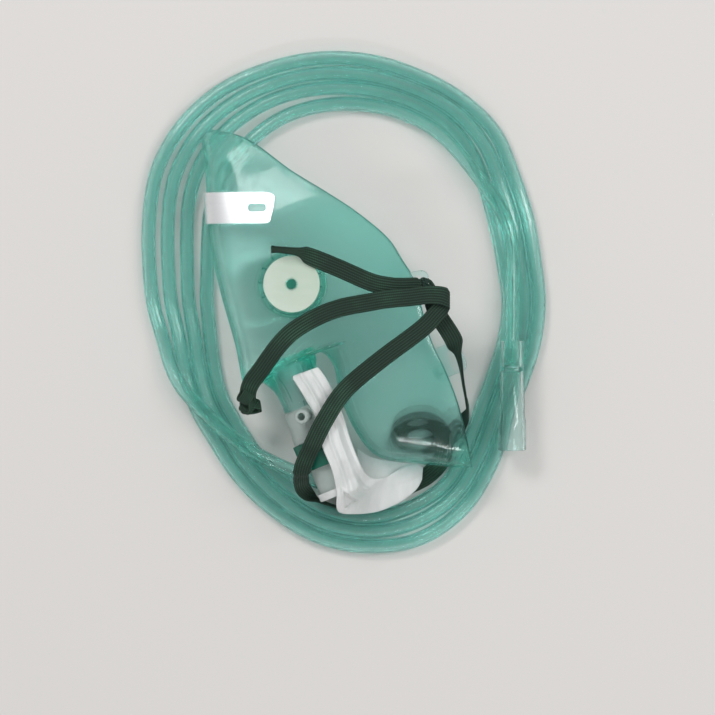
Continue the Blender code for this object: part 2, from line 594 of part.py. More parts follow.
def tube(name, points):
    """Free stretch of the supply tube, as a poly curve with capped ends."""
    curve = bpy.data.curves.new(name, "CURVE")
    curve.dimensions = "3D"
    curve.bevel_depth = TUBE_RADIUS * MM
    curve.bevel_resolution = 3
    curve.use_fill_caps = True
    line = curve.splines.new("POLY")
    line.points.add(len(points) - 1)
    for spot, place in zip(line.points, points):
        spot.co = (*(MM * value for value in place), 1.0)
    curve.materials.append(material(name, "tube"))
    made = bpy.data.objects.new(name, curve)
    bpy.context.collection.objects.link(made)
    return made


def main():
    for each in list(bpy.data.objects):
        bpy.data.objects.remove(each, do_unlink=True)
    shell = face_shell()
    clip = nose_clip(shell)
    add_seats(shell)
    add_socket(shell)
    add_tabs(shell)
    housing = valve_group()
    tip = turned("mask_connector", MASK_END, MASK_END_FROM, np.subtract(MASK_END_TO, MASK_END_FROM),
                 "tube", 32)
    below = [shell, housing, bpy.data.objects["housing_collar"], tip]
    bag = reservoir_bag(surface_of(*below))
    head_strap(surface_of(*below, bag, clip, bpy.data.objects["exhale_valve_near"]))
    coil()
    tube("oxygen_tube_start", curve_through(TUBE_START, 2))
    tube("oxygen_tube_tail", curve_through(TUBE_TAIL, 2))
    turned("source_connector", SOURCE, SOURCE_FROM, np.subtract(SOURCE_TO, SOURCE_FROM), "tube")
    for each in bpy.data.objects:
        each.data.transform(Matrix.Translation(Vector(TO_MIDDLE) * MM))


main()
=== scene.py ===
"""Looks of the reservoir oxygen mask set: face piece, valves, film bag, elastic and coiled supply tube.

Metres, +Z up. Sections and routes are in millimetres on the table that they are drawn on; place() takes
them into the frame. The camera looks straight down.
"""

import logging
import math
from dataclasses import dataclass
from enum import Enum
from typing import Any, Sequence

import bmesh
import bpy
import numpy as np
from mathutils import Matrix, Vector
from mathutils.bvhtree import BVHTree


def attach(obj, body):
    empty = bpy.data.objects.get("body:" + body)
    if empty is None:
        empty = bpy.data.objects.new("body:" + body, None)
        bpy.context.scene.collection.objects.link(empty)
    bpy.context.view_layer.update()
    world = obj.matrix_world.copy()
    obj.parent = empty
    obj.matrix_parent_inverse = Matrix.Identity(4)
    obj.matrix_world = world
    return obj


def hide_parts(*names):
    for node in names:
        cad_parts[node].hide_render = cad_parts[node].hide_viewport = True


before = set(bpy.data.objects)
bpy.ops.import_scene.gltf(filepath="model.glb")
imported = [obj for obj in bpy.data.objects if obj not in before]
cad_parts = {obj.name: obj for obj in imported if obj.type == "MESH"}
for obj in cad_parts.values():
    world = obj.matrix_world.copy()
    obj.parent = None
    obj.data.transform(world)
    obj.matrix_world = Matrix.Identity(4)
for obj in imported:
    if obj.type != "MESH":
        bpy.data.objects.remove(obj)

LOG = logging.getLogger("oxygen_mask")
MM = 0.001
TO_MIDDLE = np.array((0.9, -2.35, 0.0))
RAY_START = 0.2                       # metres above the table that rays start from
PORT = (-20.6, -16.8, 19.3)           # where the gas socket leaves the face piece
PORT_AXIS = (0.388, -0.922, 0.0)

Colour = tuple[float, float, float]
Rows = Sequence[Sequence[float]]
Feet = list[tuple[Vector, Vector]]    # places on the face piece and the directions out of it


# Numbers and curves


def place(points: Any) -> np.ndarray:
    """Points of the drawing table, in millimetres, as points of the frame in metres."""
    return (np.asarray(points, float) + TO_MIDDLE) * MM


def curve_through(rows: Rows, steps: int, closed: bool = False) -> np.ndarray:
    """Rows on a Catmull-Rom curve.

    Args:
        rows: rows of numbers that the curve passes through.
        steps: rows made for each row given.
        closed: whether the last row leads back to the first.

    Returns:
        The denser rows.
    """
    known = np.asarray(rows, float)
    count = len(known)
    found = []
    for i in range(count if closed else count - 1):
        if closed:
            p0, p1, p2, p3 = (known[(i + k) % count] for k in (-1, 0, 1, 2))
        else:
            p0, p1, p2, p3 = (known[min(max(i + k, 0), count - 1)] for k in (-1, 0, 1, 2))
        for k in range(steps):
            t = k / steps
            found.append(0.5 * (2 * p1 + (p2 - p0) * t + (2 * p0 - 5 * p1 + 4 * p2 - p3) * t * t
                                + (3 * p1 - p0 - 3 * p2 + p3) * t ** 3))
    if not closed:
        found.append(known[-1])
    return np.array(found)


def run_of(line: np.ndarray) -> np.ndarray:
    """Distance along a line at each of its points."""
    return np.concatenate([[0.0], np.cumsum(np.linalg.norm(np.diff(line, axis=0), axis=1))])


def evenly(line: np.ndarray, spacing: float) -> np.ndarray:
    """The line with its points an even distance apart.

    Args:
        line: its points.
        spacing: the distance wanted.

    Returns:
        The new points.
    """
    run = run_of(line)
    wanted = np.linspace(0.0, run[-1], max(2, round(run[-1] / spacing) + 1))
    return np.column_stack([np.interp(wanted, run, line[:, k]) for k in range(line.shape[1])])


def unit(rows: np.ndarray) -> np.ndarray:
    """Rows scaled to length one."""
    return rows / np.maximum(np.linalg.norm(rows, axis=-1, keepdims=True), 1e-9)


# Shader graph


class Value:
    """A shader number that takes Python arithmetic; each operation adds its Math node."""

    def __init__(self, graph: "Graph", socket: bpy.types.NodeSocket) -> None:
        """Holds one output socket of a graph."""
        self.graph = graph
        self.socket = socket

    def maths(self, operation: str, *others: Any, swapped: bool = False) -> "Value":
        """Result of a Math node.

        Args:
            operation: the Math node's operation.
            others: the remaining terms, numbers or values.
            swapped: whether this value is the last term.

        Returns:
            The node's output.
        """
        terms = (*others, self) if swapped else (self, *others)
        return self.graph.add("ShaderNodeMath", {"operation": operation}, dict(enumerate(terms)))

    def __add__(self, other: Any) -> "Value":
        """Sum."""
        return self.maths("ADD", other)

    def __sub__(self, other: Any) -> "Value":
        """Difference."""
        return self.maths("SUBTRACT", other)

    def __rsub__(self, other: Any) -> "Value":
        """Difference from a number."""
        return self.maths("SUBTRACT", other, swapped=True)

    def __mul__(self, other: Any) -> "Value":
        """Product."""
        return self.maths("MULTIPLY", other)

    def between(self, low: float, high: float) -> "Value":
        """Zero below low, one above high and smooth between them."""
        settings = {"interpolation_type": "SMOOTHSTEP"}
        return self.graph.add("ShaderNodeMapRange", settings, {0: self, 1: low, 2: high, 3: 0.0, 4: 1.0})


class Graph:
    """Node tree of one material."""

    def __init__(self, name: str) -> None:
        """Starts an empty tree with its output node.

        Args:
            name: the material's name.
        """
        self.material = bpy.data.materials.new(name)
        self.material.use_nodes = True
        self.tree = self.material.node_tree
        self.tree.nodes.clear()
        self.end = self.tree.nodes.new("ShaderNodeOutputMaterial")

    def add(self, kind: str, settings: dict[str, Any] | None = None,
            inputs: dict[Any, Any] | None = None, output: Any = 0) -> Value:
        """Adds a node.

        Args:
            kind: the node's type.
            settings: its own settings.
            inputs: number, colour or Value for each input, by name or place.
            output: the output wanted, by name or place.

        Returns:
            That output.
        """
        node = self.tree.nodes.new(kind)
        for key, value in (settings or {}).items():
            setattr(node, key, value)
        for key, value in (inputs or {}).items():
            if isinstance(value, Value):
                self.tree.links.new(value.socket, node.inputs[key])
            elif isinstance(value, tuple) and len(value) == 3 and node.inputs[key].type == "RGBA":
                node.inputs[key].default_value = (*value, 1.0)
            else:
                node.inputs[key].default_value = value
        return Value(self, node.outputs[output])

    def spot(self) -> Value:
        """The place on the object."""
        return self.add("ShaderNodeTexCoord", output="Object")

    def attribute(self, name: str) -> Value:
        """A number kept on the mesh."""
        return self.add("ShaderNodeAttribute", {"attribute_name": name}, output="Fac")

    def noise(self, scale: float, detail: float = 3.0, rough: float = 0.5, spot: Value | None = None) -> Value:
        """Cloudy noise from 0 to 1, its scale in features a metre."""
        inputs = {"Vector": spot or self.spot(), "Scale": scale, "Detail": detail, "Roughness": rough}
        return self.add("ShaderNodeTexNoise", None, inputs)

    def stretched(self, size: Sequence[float], turn: Sequence[float] = (0.0, 0.0, 0.0)) -> Value:
        """The place on the object with its axes scaled and turned."""
        return self.add("ShaderNodeMapping", None,
                        {"Vector": self.spot(), "Scale": Vector(size), "Rotation": Vector(turn)})

    def mixed(self, share: Any, low: Any, high: Any) -> Value:
        """Colour between two colours."""
        return self.add("ShaderNodeMix", {"data_type": "RGBA"}, {0: share, 6: low, 7: high}, 2)

    def bump(self, height: Value, depth: float, strength: float = 1.0) -> Value:
        """Normal of a surface raised by height times depth in metres."""
        return self.add("ShaderNodeBump", None, {"Height": height, "Distance": depth, "Strength": strength})

    def principled(self, **inputs: Any) -> bpy.types.Material:
        """Ends the tree in a Principled shader.

        Args:
            inputs: its sockets, with _ for a space.

        Returns:
            The material.
        """
        named = {key.replace("_", " "): value for key, value in inputs.items()}
        shader = self.add("ShaderNodeBsdfPrincipled", None, named)
        self.tree.links.new(shader.socket, self.end.inputs["Surface"])
        return self.material


@dataclass(frozen=True)
class ClearVinyl:
    """Soft tinted vinyl that light passes through, with faint flow marks and handling haze, and painted shade
    that can darken its rim's edge.
    """

    tint: Colour
    deeper: Colour
    kept: Colour
    density: float
    gloss: float
    haze: float
    index: float
    waviness: float
    cover: float
    cloud_scale: float = 38.0
    along_tube: bool = False
    streaks: int = 5
    # painted shade: the three fields below give the rim's edge a darker teal and a denser cover, standing in
    # for the dark line a clear wall shows seen edge-on
    shaded_rim: bool = False
    rim_shade_cover: float = 0.97
    rim: Colour = (0.10, 0.42, 0.36)

    def make(self, name: str) -> bpy.types.Material:
        """The finish as a material.

        Args:
            name: the material's name.

        Returns:
            The material.
        """
        graph = Graph(name)
        clouds = graph.noise(self.cloud_scale, 3.0, 0.55)
        if self.along_tube:
            drawn = (graph.attribute("around") * (2 * math.pi * self.streaks)).maths("SINE") * 0.5 + 0.5
            pulled = graph.noise(9.0, 2.0, 0.5)
            colour = graph.mixed((clouds * 0.4 + drawn * 0.6).between(0.2, 0.8), self.tint, self.deeper)
            height = drawn * 0.35 + pulled * 0.65
        else:
            flow = graph.noise(1.0, 3.0, 0.6, graph.stretched((26.0, 70.0, 40.0), (0.0, 0.0, 0.5)))
            colour = graph.mixed((clouds * 0.6 + flow * 0.4).between(0.34, 0.66), self.tint, self.deeper)
            height = flow * 0.7 + clouds * 0.3
        handled = graph.noise(150.0, 4.0, 0.65).between(0.45, 0.75)
        fine = graph.noise(1400.0, 2.0, 0.5)
        cover: Any = self.cover
        # painted shade on the marked rim edge: darker colour and denser cover for the dark line of the wall
        # seen edge-on
        if self.shaded_rim:
            edge = graph.attribute("edge")
            colour = graph.mixed(edge, colour, self.rim)
            cover = edge * (self.rim_shade_cover - self.cover) + self.cover
        body = graph.add("ShaderNodeVolumeAbsorption", None, {"Color": self.kept, "Density": self.density})
        graph.tree.links.new(body.socket, graph.end.inputs["Volume"])
        return graph.principled(
            Base_Color=colour,
            Roughness=handled * (self.haze - self.gloss) + self.gloss,
            Normal=graph.bump(height * 0.93 + fine * 0.07, self.waviness),
            IOR=self.index, Transmission_Weight=1.0, Alpha=cover)


@dataclass(frozen=True)
class Moulded:
    """Injection-moulded plastic or silicone with a little shade in its surface."""

    colour: Colour
    shade: Colour
    roughness: float = 0.35
    lets_through: float = 0.0
    grain: float = 0.00004
    grain_scale: float = 900.0
    sheen: float = 0.0

    def make(self, name: str) -> bpy.types.Material:
        """The finish as a material.

        Args:
            name: the material's name.

        Returns:
            The material.
        """
        graph = Graph(name)
        cloud = graph.noise(55.0, 3.0, 0.6)
        grain = graph.noise(self.grain_scale, 3.0, 0.6)
        marks = graph.noise(1.0, 3.0, 0.5, graph.stretched((60.0, 320.0, 60.0), (0.0, 0.0, 0.4)))
        colour = graph.mixed((cloud * 0.65 + marks * 0.35).between(0.3, 0.7), self.colour, self.shade)
        return graph.principled(
            Base_Color=colour, Roughness=(cloud * 0.6 + grain * 0.4) * 0.22 + (self.roughness - 0.11),
            Normal=graph.bump(grain * 0.6 + marks * 0.4, self.grain), IOR=1.46,
            Transmission_Weight=self.lets_through, Sheen_Weight=self.sheen)


@dataclass(frozen=True)
class Film:
    """Frosted polyethylene film: milky, crinkled along its folds."""

    colour: Colour = (0.86, 0.87, 0.86)
    shade: Colour = (0.74, 0.77, 0.75)

    def make(self, name: str) -> bpy.types.Material:
        """The finish as a material.

        Args:
            name: the material's name.

        Returns:
            The material.
        """
        graph = Graph(name)
        creases = graph.noise(1.0, 4.0, 0.62, graph.stretched((210.0, 60.0, 120.0), (0.0, 0.0, -0.5)))
        cloud = graph.noise(60.0, 3.0, 0.5)
        matt = graph.noise(2600.0, 2.0, 0.5)
        colour = graph.mixed((creases * 0.5 + cloud * 0.5).between(0.36, 0.62), self.shade, self.colour)
        return graph.principled(
            Base_Color=colour, Roughness=cloud * 0.2 + 0.24,
            Normal=graph.bump(creases * 0.92 + matt * 0.08, 0.00045, 0.8),
            IOR=1.5, Transmission_Weight=0.22, Specular_IOR_Level=0.5)


@dataclass(frozen=True)
class Braid:
    """Ribbed elastic: lengthwise rubber cores under a covering of wound yarn."""

    colour: Colour = (0.003, 0.016, 0.009)
    light: Colour = (0.026, 0.088, 0.050)
    ribs: int = 7
    picks: float = 1150.0

    def make(self, name: str) -> bpy.types.Material:
        """The finish as a material.

        Args:
            name: the material's name.

        Returns:
            The material.
        """
        graph = Graph(name)
        across, along = graph.attribute("across"), graph.attribute("along")
        rib = (across * (math.pi * self.ribs)).maths("SINE").maths("ABSOLUTE")
        lean = along * self.picks + across * 3.0
        pick = lean.maths("FRACT").maths("PINGPONG", 0.5) * 2.0
        yarn = graph.noise(2400.0, 3.0, 0.6)
        worn = graph.noise(45.0, 3.0, 0.6).between(0.42, 0.7)
        tone = rib * 0.55 + pick * 0.25 + yarn * 0.2
        colour = graph.mixed((tone * (worn * 0.35 + 0.65)).between(0.25, 0.95), self.colour, self.light)
        return graph.principled(
            Base_Color=colour, Roughness=0.78 - tone * 0.2,
            Normal=graph.bump(rib * 0.5 + pick * 0.35 + yarn * 0.15, 0.00022),
            Sheen_Weight=0.05, Sheen_Roughness=0.5, Specular_IOR_Level=0.35)


@dataclass(frozen=True)
class RolledMetal:
    """Soft rolled aluminium strip with draw lines and finger scuffs."""

    colour: Colour = (0.92, 0.93, 0.935)
    shade: Colour = (0.80, 0.82, 0.83)

    def make(self, name: str) -> bpy.types.Material:
        """The finish as a material.

        Args:
            name: the material's name.

        Returns:
            The material.
        """
        graph = Graph(name)
        drawn = graph.noise(1.0, 3.0, 0.6, graph.stretched((55.0, 1900.0, 300.0)))
        scuffs = graph.noise(240.0, 4.0, 0.7).between(0.52, 0.72)
        return graph.principled(
            Base_Color=graph.mixed(drawn * 0.6 + scuffs * 0.4, self.colour, self.shade), Metallic=0.85,
            Roughness=drawn * 0.16 + scuffs * 0.12 + 0.34, Normal=graph.bump(drawn, 0.00003))


class Finish(Enum):
    """Finishes of the set."""

    FACE_PIECE = ClearVinyl(
        tint=(0.93, 1.0, 0.985), deeper=(0.85, 0.99, 0.965), kept=(0.0, 0.96, 0.85), density=102.0,
        gloss=0.06, haze=0.13, index=1.40, waviness=0.00010, cover=0.54, shaded_rim=True)
    TUBE = ClearVinyl(
        tint=(0.95, 1.0, 0.985), deeper=(0.76, 0.98, 0.945), kept=(0.0, 0.97, 0.87), density=138.0,
        gloss=0.05, haze=0.10, index=1.42, waviness=0.00006, cloud_scale=30.0, cover=0.70, along_tube=True)
    CONNECTOR = ClearVinyl(
        tint=(0.96, 1.0, 0.99), deeper=(0.90, 0.99, 0.97), kept=(0.0, 0.96, 0.88), density=42.0,
        gloss=0.05, haze=0.11, index=1.45, waviness=0.00003, cover=0.86)
    HOUSING = Moulded(colour=(0.72, 0.80, 0.765), shade=(0.64, 0.745, 0.705), roughness=0.32, lets_through=0.55)
    COLLAR = Moulded(colour=(0.004, 0.150, 0.092), shade=(0.002, 0.105, 0.066), roughness=0.34,
                     lets_through=0.15)
    FLAP = Moulded(colour=(0.80, 0.88, 0.78), shade=(0.71, 0.82, 0.69), roughness=0.42, lets_through=0.35,
                   grain=0.00003, grain_scale=1500.0, sheen=0.1)
    FILM = Film()
    ELASTIC = Braid()
    METAL = RolledMetal()

    @property
    def material(self) -> bpy.types.Material:
        """Its material, made when it is first asked for."""
        name = self.name.lower()
        return bpy.data.materials.get(name) or self.value.make(name)


# Mesh helpers


def linked(name: str, data: Any) -> bpy.types.Object:
    """Puts data in the scene.

    Args:
        name: the object's name.
        data: its mesh, camera or light.

    Returns:
        The object.
    """
    made = bpy.data.objects.new(name, data)
    bpy.context.scene.collection.objects.link(made)
    return made


def meshed(name: str, work: bmesh.types.BMesh) -> bpy.types.Mesh:
    """Mesh data of a bmesh.

    Args:
        name: the mesh's name.
        work: the bmesh, which is freed.

    Returns:
        The mesh.
    """
    mesh = bpy.data.meshes.new(name)
    work.to_mesh(mesh)
    work.free()
    return mesh


def smoothed(mesh: bpy.types.Mesh, sharp: float) -> None:
    """Shades a mesh smooth but for edges past an angle in degrees."""
    mesh.shade_smooth()
    mesh.set_sharp_from_angle(angle=math.radians(sharp))


def finished(name: str, work: bmesh.types.BMesh, finish: Finish, sharp: float = 40.0) -> bpy.types.Object:
    """Object from a bmesh, with its normals out, smooth but for sharp edges, and its finish on.

    Args:
        name: the piece's name.
        work: the mesh, which is freed.
        finish: what it is made of.
        sharp: degrees past which an edge stays sharp.

    Returns:
        The object, at the origin.
    """
    bmesh.ops.recalc_face_normals(work, faces=work.faces)
    if work.calc_volume(signed=True) < 0:
        bmesh.ops.reverse_faces(work, faces=work.faces)
    mesh = meshed(name, work)
    smoothed(mesh, sharp)
    mesh.materials.append(finish.material)
    return linked(name, mesh)


def stands_for(piece: bpy.types.Object, *nodes: str) -> bpy.types.Object:
    """Puts a piece on the frame in the place of its nodes.

    Args:
        piece: the piece.
        nodes: the nodes it replaces.

    Returns:
        The piece.
    """
    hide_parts(*nodes)
    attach(piece, "root")
    LOG.info("%s: %d faces, for %s", piece.name, len(piece.data.polygons), ", ".join(nodes))
    return piece


def swept(rings: np.ndarray, capped: bool = True,
          marks: dict[str, np.ndarray] | None = None) -> bmesh.types.BMesh:
    """Tube of quads through rings of points.

    Args:
        rings: points in metres, by ring and by place round it.
        capped: whether both ends are closed.
        marks: numbers to keep on the vertices, one for each point of the rings.

    Returns:
        The mesh.
    """
    count, sides = rings.shape[:2]
    work = bmesh.new()
    layers = {key: work.verts.layers.float.new(key) for key in (marks or {})}
    bmesh.ops.create_grid(work, x_segments=sides, y_segments=count - 1, size=1.0)
    for vert in work.verts:
        j = round((vert.co.x + 1) / 2 * sides) % sides
        i = round((vert.co.y + 1) / 2 * (count - 1))
        vert.co = rings[i, j]
        for key, layer in layers.items():
            vert[layer] = marks[key][i, j]
    bmesh.ops.remove_doubles(work, verts=work.verts, dist=1e-8)
    if capped:
        bmesh.ops.holes_fill(work, edges=[edge for edge in work.edges if edge.is_boundary], sides=0)
    return work


def tube_rings(line: np.ndarray, radius: Any, sides: int) -> np.ndarray:
    """Round rings square to a line, carried along it without twist.

    Args:
        line: points in metres.
        radius: one radius, or one for each point.
        sides: points in a ring.

    Returns:
        The rings.
    """
    along = unit(np.gradient(line, axis=0))
    side = np.cross(along[0], (0.0, 0.0, 1.0))
    if np.linalg.norm(side) < 1e-6:
        side = np.array((1.0, 0.0, 0.0))
    turns = 2 * math.pi * np.arange(sides) / sides
    radii = np.broadcast_to(radius, len(line))
    rings = np.empty((len(line), sides, 3))
    for i, way in enumerate(along):
        side = unit(side - way * (side @ way))
        other = np.cross(way, side)
        rings[i] = line[i] + radii[i] * (np.outer(np.cos(turns), side) + np.outer(np.sin(turns), other))
    return rings


def spun(outline: Sequence[tuple[float, float]], base: Any, axis: Any, closed: bool = True,
         segments: int = 96) -> bmesh.types.BMesh:
    """Solid of revolution.

    Args:
        outline: (distance along the axis, radius) in millimetres.
        base: where the distance is 0, on the table.
        axis: its direction.
        closed: whether the outline ends where it began; if not, both its ends are on the axis.
        segments: steps in a turn.

    Returns:
        The mesh, in the frame.
    """
    work = bmesh.new()
    verts = [work.verts.new((radius * MM, 0.0, along * MM)) for along, radius in outline]
    for a, b in zip(verts, verts[1:] + (verts[:1] if closed else [])):
        work.edges.new((a, b))
    bmesh.ops.spin(work, geom=work.verts[:] + work.edges[:], cent=(0, 0, 0), axis=(0, 0, 1),
                   angle=2 * math.pi, steps=segments, use_merge=True)
    bmesh.ops.remove_doubles(work, verts=work.verts, dist=1e-7)
    turn = Vector(axis).to_track_quat("Z", "Y").to_matrix().to_4x4()
    bmesh.ops.transform(work, matrix=Matrix.Translation(place(base)) @ turn, verts=work.verts)
    bmesh.ops.recalc_face_normals(work, faces=work.faces)
    return work


def rod(ends: Sequence[float], radius: float, base: Any, axis: Any, segments: int = 96) -> bmesh.types.BMesh:
    """Round rod along an axis, from one distance to another, to cut a hole with."""
    start, end = ends
    return spun(((start, 0), (start, radius), (end, radius), (end, 0)), base, axis, False, segments)


def ring_of(middle: Vector, axis: Vector, count: int, radius: float, lead: float = 0.0) -> list[Vector]:
    """Places evenly round an axis.

    Args:
        middle: a point on the axis.
        axis: its direction.
        count: how many places.
        radius: how far from the axis.
        lead: share of their spacing that the first is turned on by.

    Returns:
        The places.
    """
    side = axis.orthogonal().normalized()
    turns = [2 * math.pi * (k + lead) / count for k in range(count)]
    return [middle + Matrix.Rotation(turn, 3, axis) @ side * radius for turn in turns]


def joined(parts: Sequence[bmesh.types.BMesh]) -> bmesh.types.BMesh:
    """One mesh of several.

    Args:
        parts: the meshes, which are freed.

    Returns:
        The mesh.
    """
    whole = bmesh.new()
    for part in parts:
        mesh = meshed("part", part)
        whole.from_mesh(mesh)
        bpy.data.meshes.remove(mesh)
    return whole


def rounded_block(centre: Sequence[float], size: Sequence[float], heading: float, corner: float,
                  edge: float = 0.0) -> bmesh.types.BMesh:
    """Upright block with round corners.

    Args:
        centre: its middle on the table.
        size: length along the heading, width and height.
        heading: degrees from +X.
        corner: radius of its upright corners.
        edge: radius of its upper and lower edges.

    Returns:
        The mesh, in the frame.
    """
    work = bmesh.new()
    bmesh.ops.create_cube(work, size=1.0)
    bmesh.ops.scale(work, vec=Vector(size) * MM, verts=work.verts)
    upright = [e for e in work.edges if abs(e.verts[0].co.z - e.verts[1].co.z) > 1e-6]
    plain = {"profile": 0.5, "affect": "EDGES", "material": -1}
    bmesh.ops.bevel(work, geom=upright, offset=corner * MM, segments=8, **plain)
    if edge:
        level = [e for e in work.edges if abs(e.verts[0].co.z - e.verts[1].co.z) < 1e-6
                 and e.calc_face_angle(0.0) > 0.5]
        bmesh.ops.bevel(work, geom=level, offset=edge * MM, segments=3, **plain)
    turn = Matrix.Rotation(math.radians(heading), 4, "Z")
    bmesh.ops.transform(work, matrix=Matrix.Translation(place(centre)) @ turn, verts=work.verts)
    return work


def combined(piece: bpy.types.Object, helper: bmesh.types.BMesh, operation: str) -> None:
    """Applies an exact Boolean of a helper mesh to a piece's mesh.

    Args:
        piece: the piece, which gets the result.
        helper: the other mesh, which is freed.
        operation: UNION or DIFFERENCE.
    """
    other = linked("helper", meshed("helper", helper))
    step = piece.modifiers.new(operation.title(), "BOOLEAN")
    step.operation, step.solver, step.object = operation, "EXACT", other
    bpy.context.view_layer.update()
    result = bpy.data.meshes.new_from_object(piece.evaluated_get(bpy.context.evaluated_depsgraph_get()))
    piece.modifiers.clear()
    piece.data = result
    bpy.data.objects.remove(other, do_unlink=True)


def softened(piece: bpy.types.Object, width: float, segments: int = 2) -> bpy.types.Object:
    """Bevels a piece's sharp edges.

    Args:
        piece: the piece.
        width: of the bevel, in millimetres.
        segments: its steps.

    Returns:
        The piece.
    """
    step = piece.modifiers.new("Edges", "BEVEL")
    step.width, step.segments, step.limit_method = width * MM, segments, "ANGLE"
    step.angle_limit = math.radians(38)
    return piece


class Surface:
    """What lies below: nodes or pieces that rays are cast on."""

    def __init__(self, objects: Sequence[bpy.types.Object]) -> None:
        """Makes a tree for each object's mesh.

        Args:
            objects: nodes or pieces that stand at the origin.
        """
        self.trees = []
        for each in objects:
            work = bmesh.new()
            work.from_mesh(each.data)
            self.trees.append(BVHTree.FromBMesh(work))
            work.free()

    def height(self, x: float, y: float, floor: float = 0.0) -> float:
        """Top of the pieces at a place of the frame, in metres."""
        hits = (tree.ray_cast(Vector((x, y, RAY_START)), Vector((0, 0, -1)))[0] for tree in self.trees)
        return max([floor] + [hit.z for hit in hits if hit is not None])

    def height_near(self, x: float, y: float, reach: float) -> float:
        """Top of the pieces within reach of a place."""
        return max(self.height(x + a * reach, y + b * reach)
                   for a, b in ((0, 0), (1, 0), (-1, 0), (0, 1), (0, -1)))

    def cast(self, start: Any, way: Any) -> tuple[Vector, Vector]:
        """Casts a ray on all that lies below.

        Args:
            start: where the ray starts.
            way: its direction.

        Returns:
            The first hit, and its normal turned against the ray.
        """
        hits = [hit for hit in (tree.ray_cast(Vector(start), Vector(way)) for tree in self.trees) if hit[0]]
        spot, normal = min(hits, key=lambda hit: hit[3])[:2]
        return spot, normal if normal.dot(Vector(way)) < 0 else -normal


# The supply tube


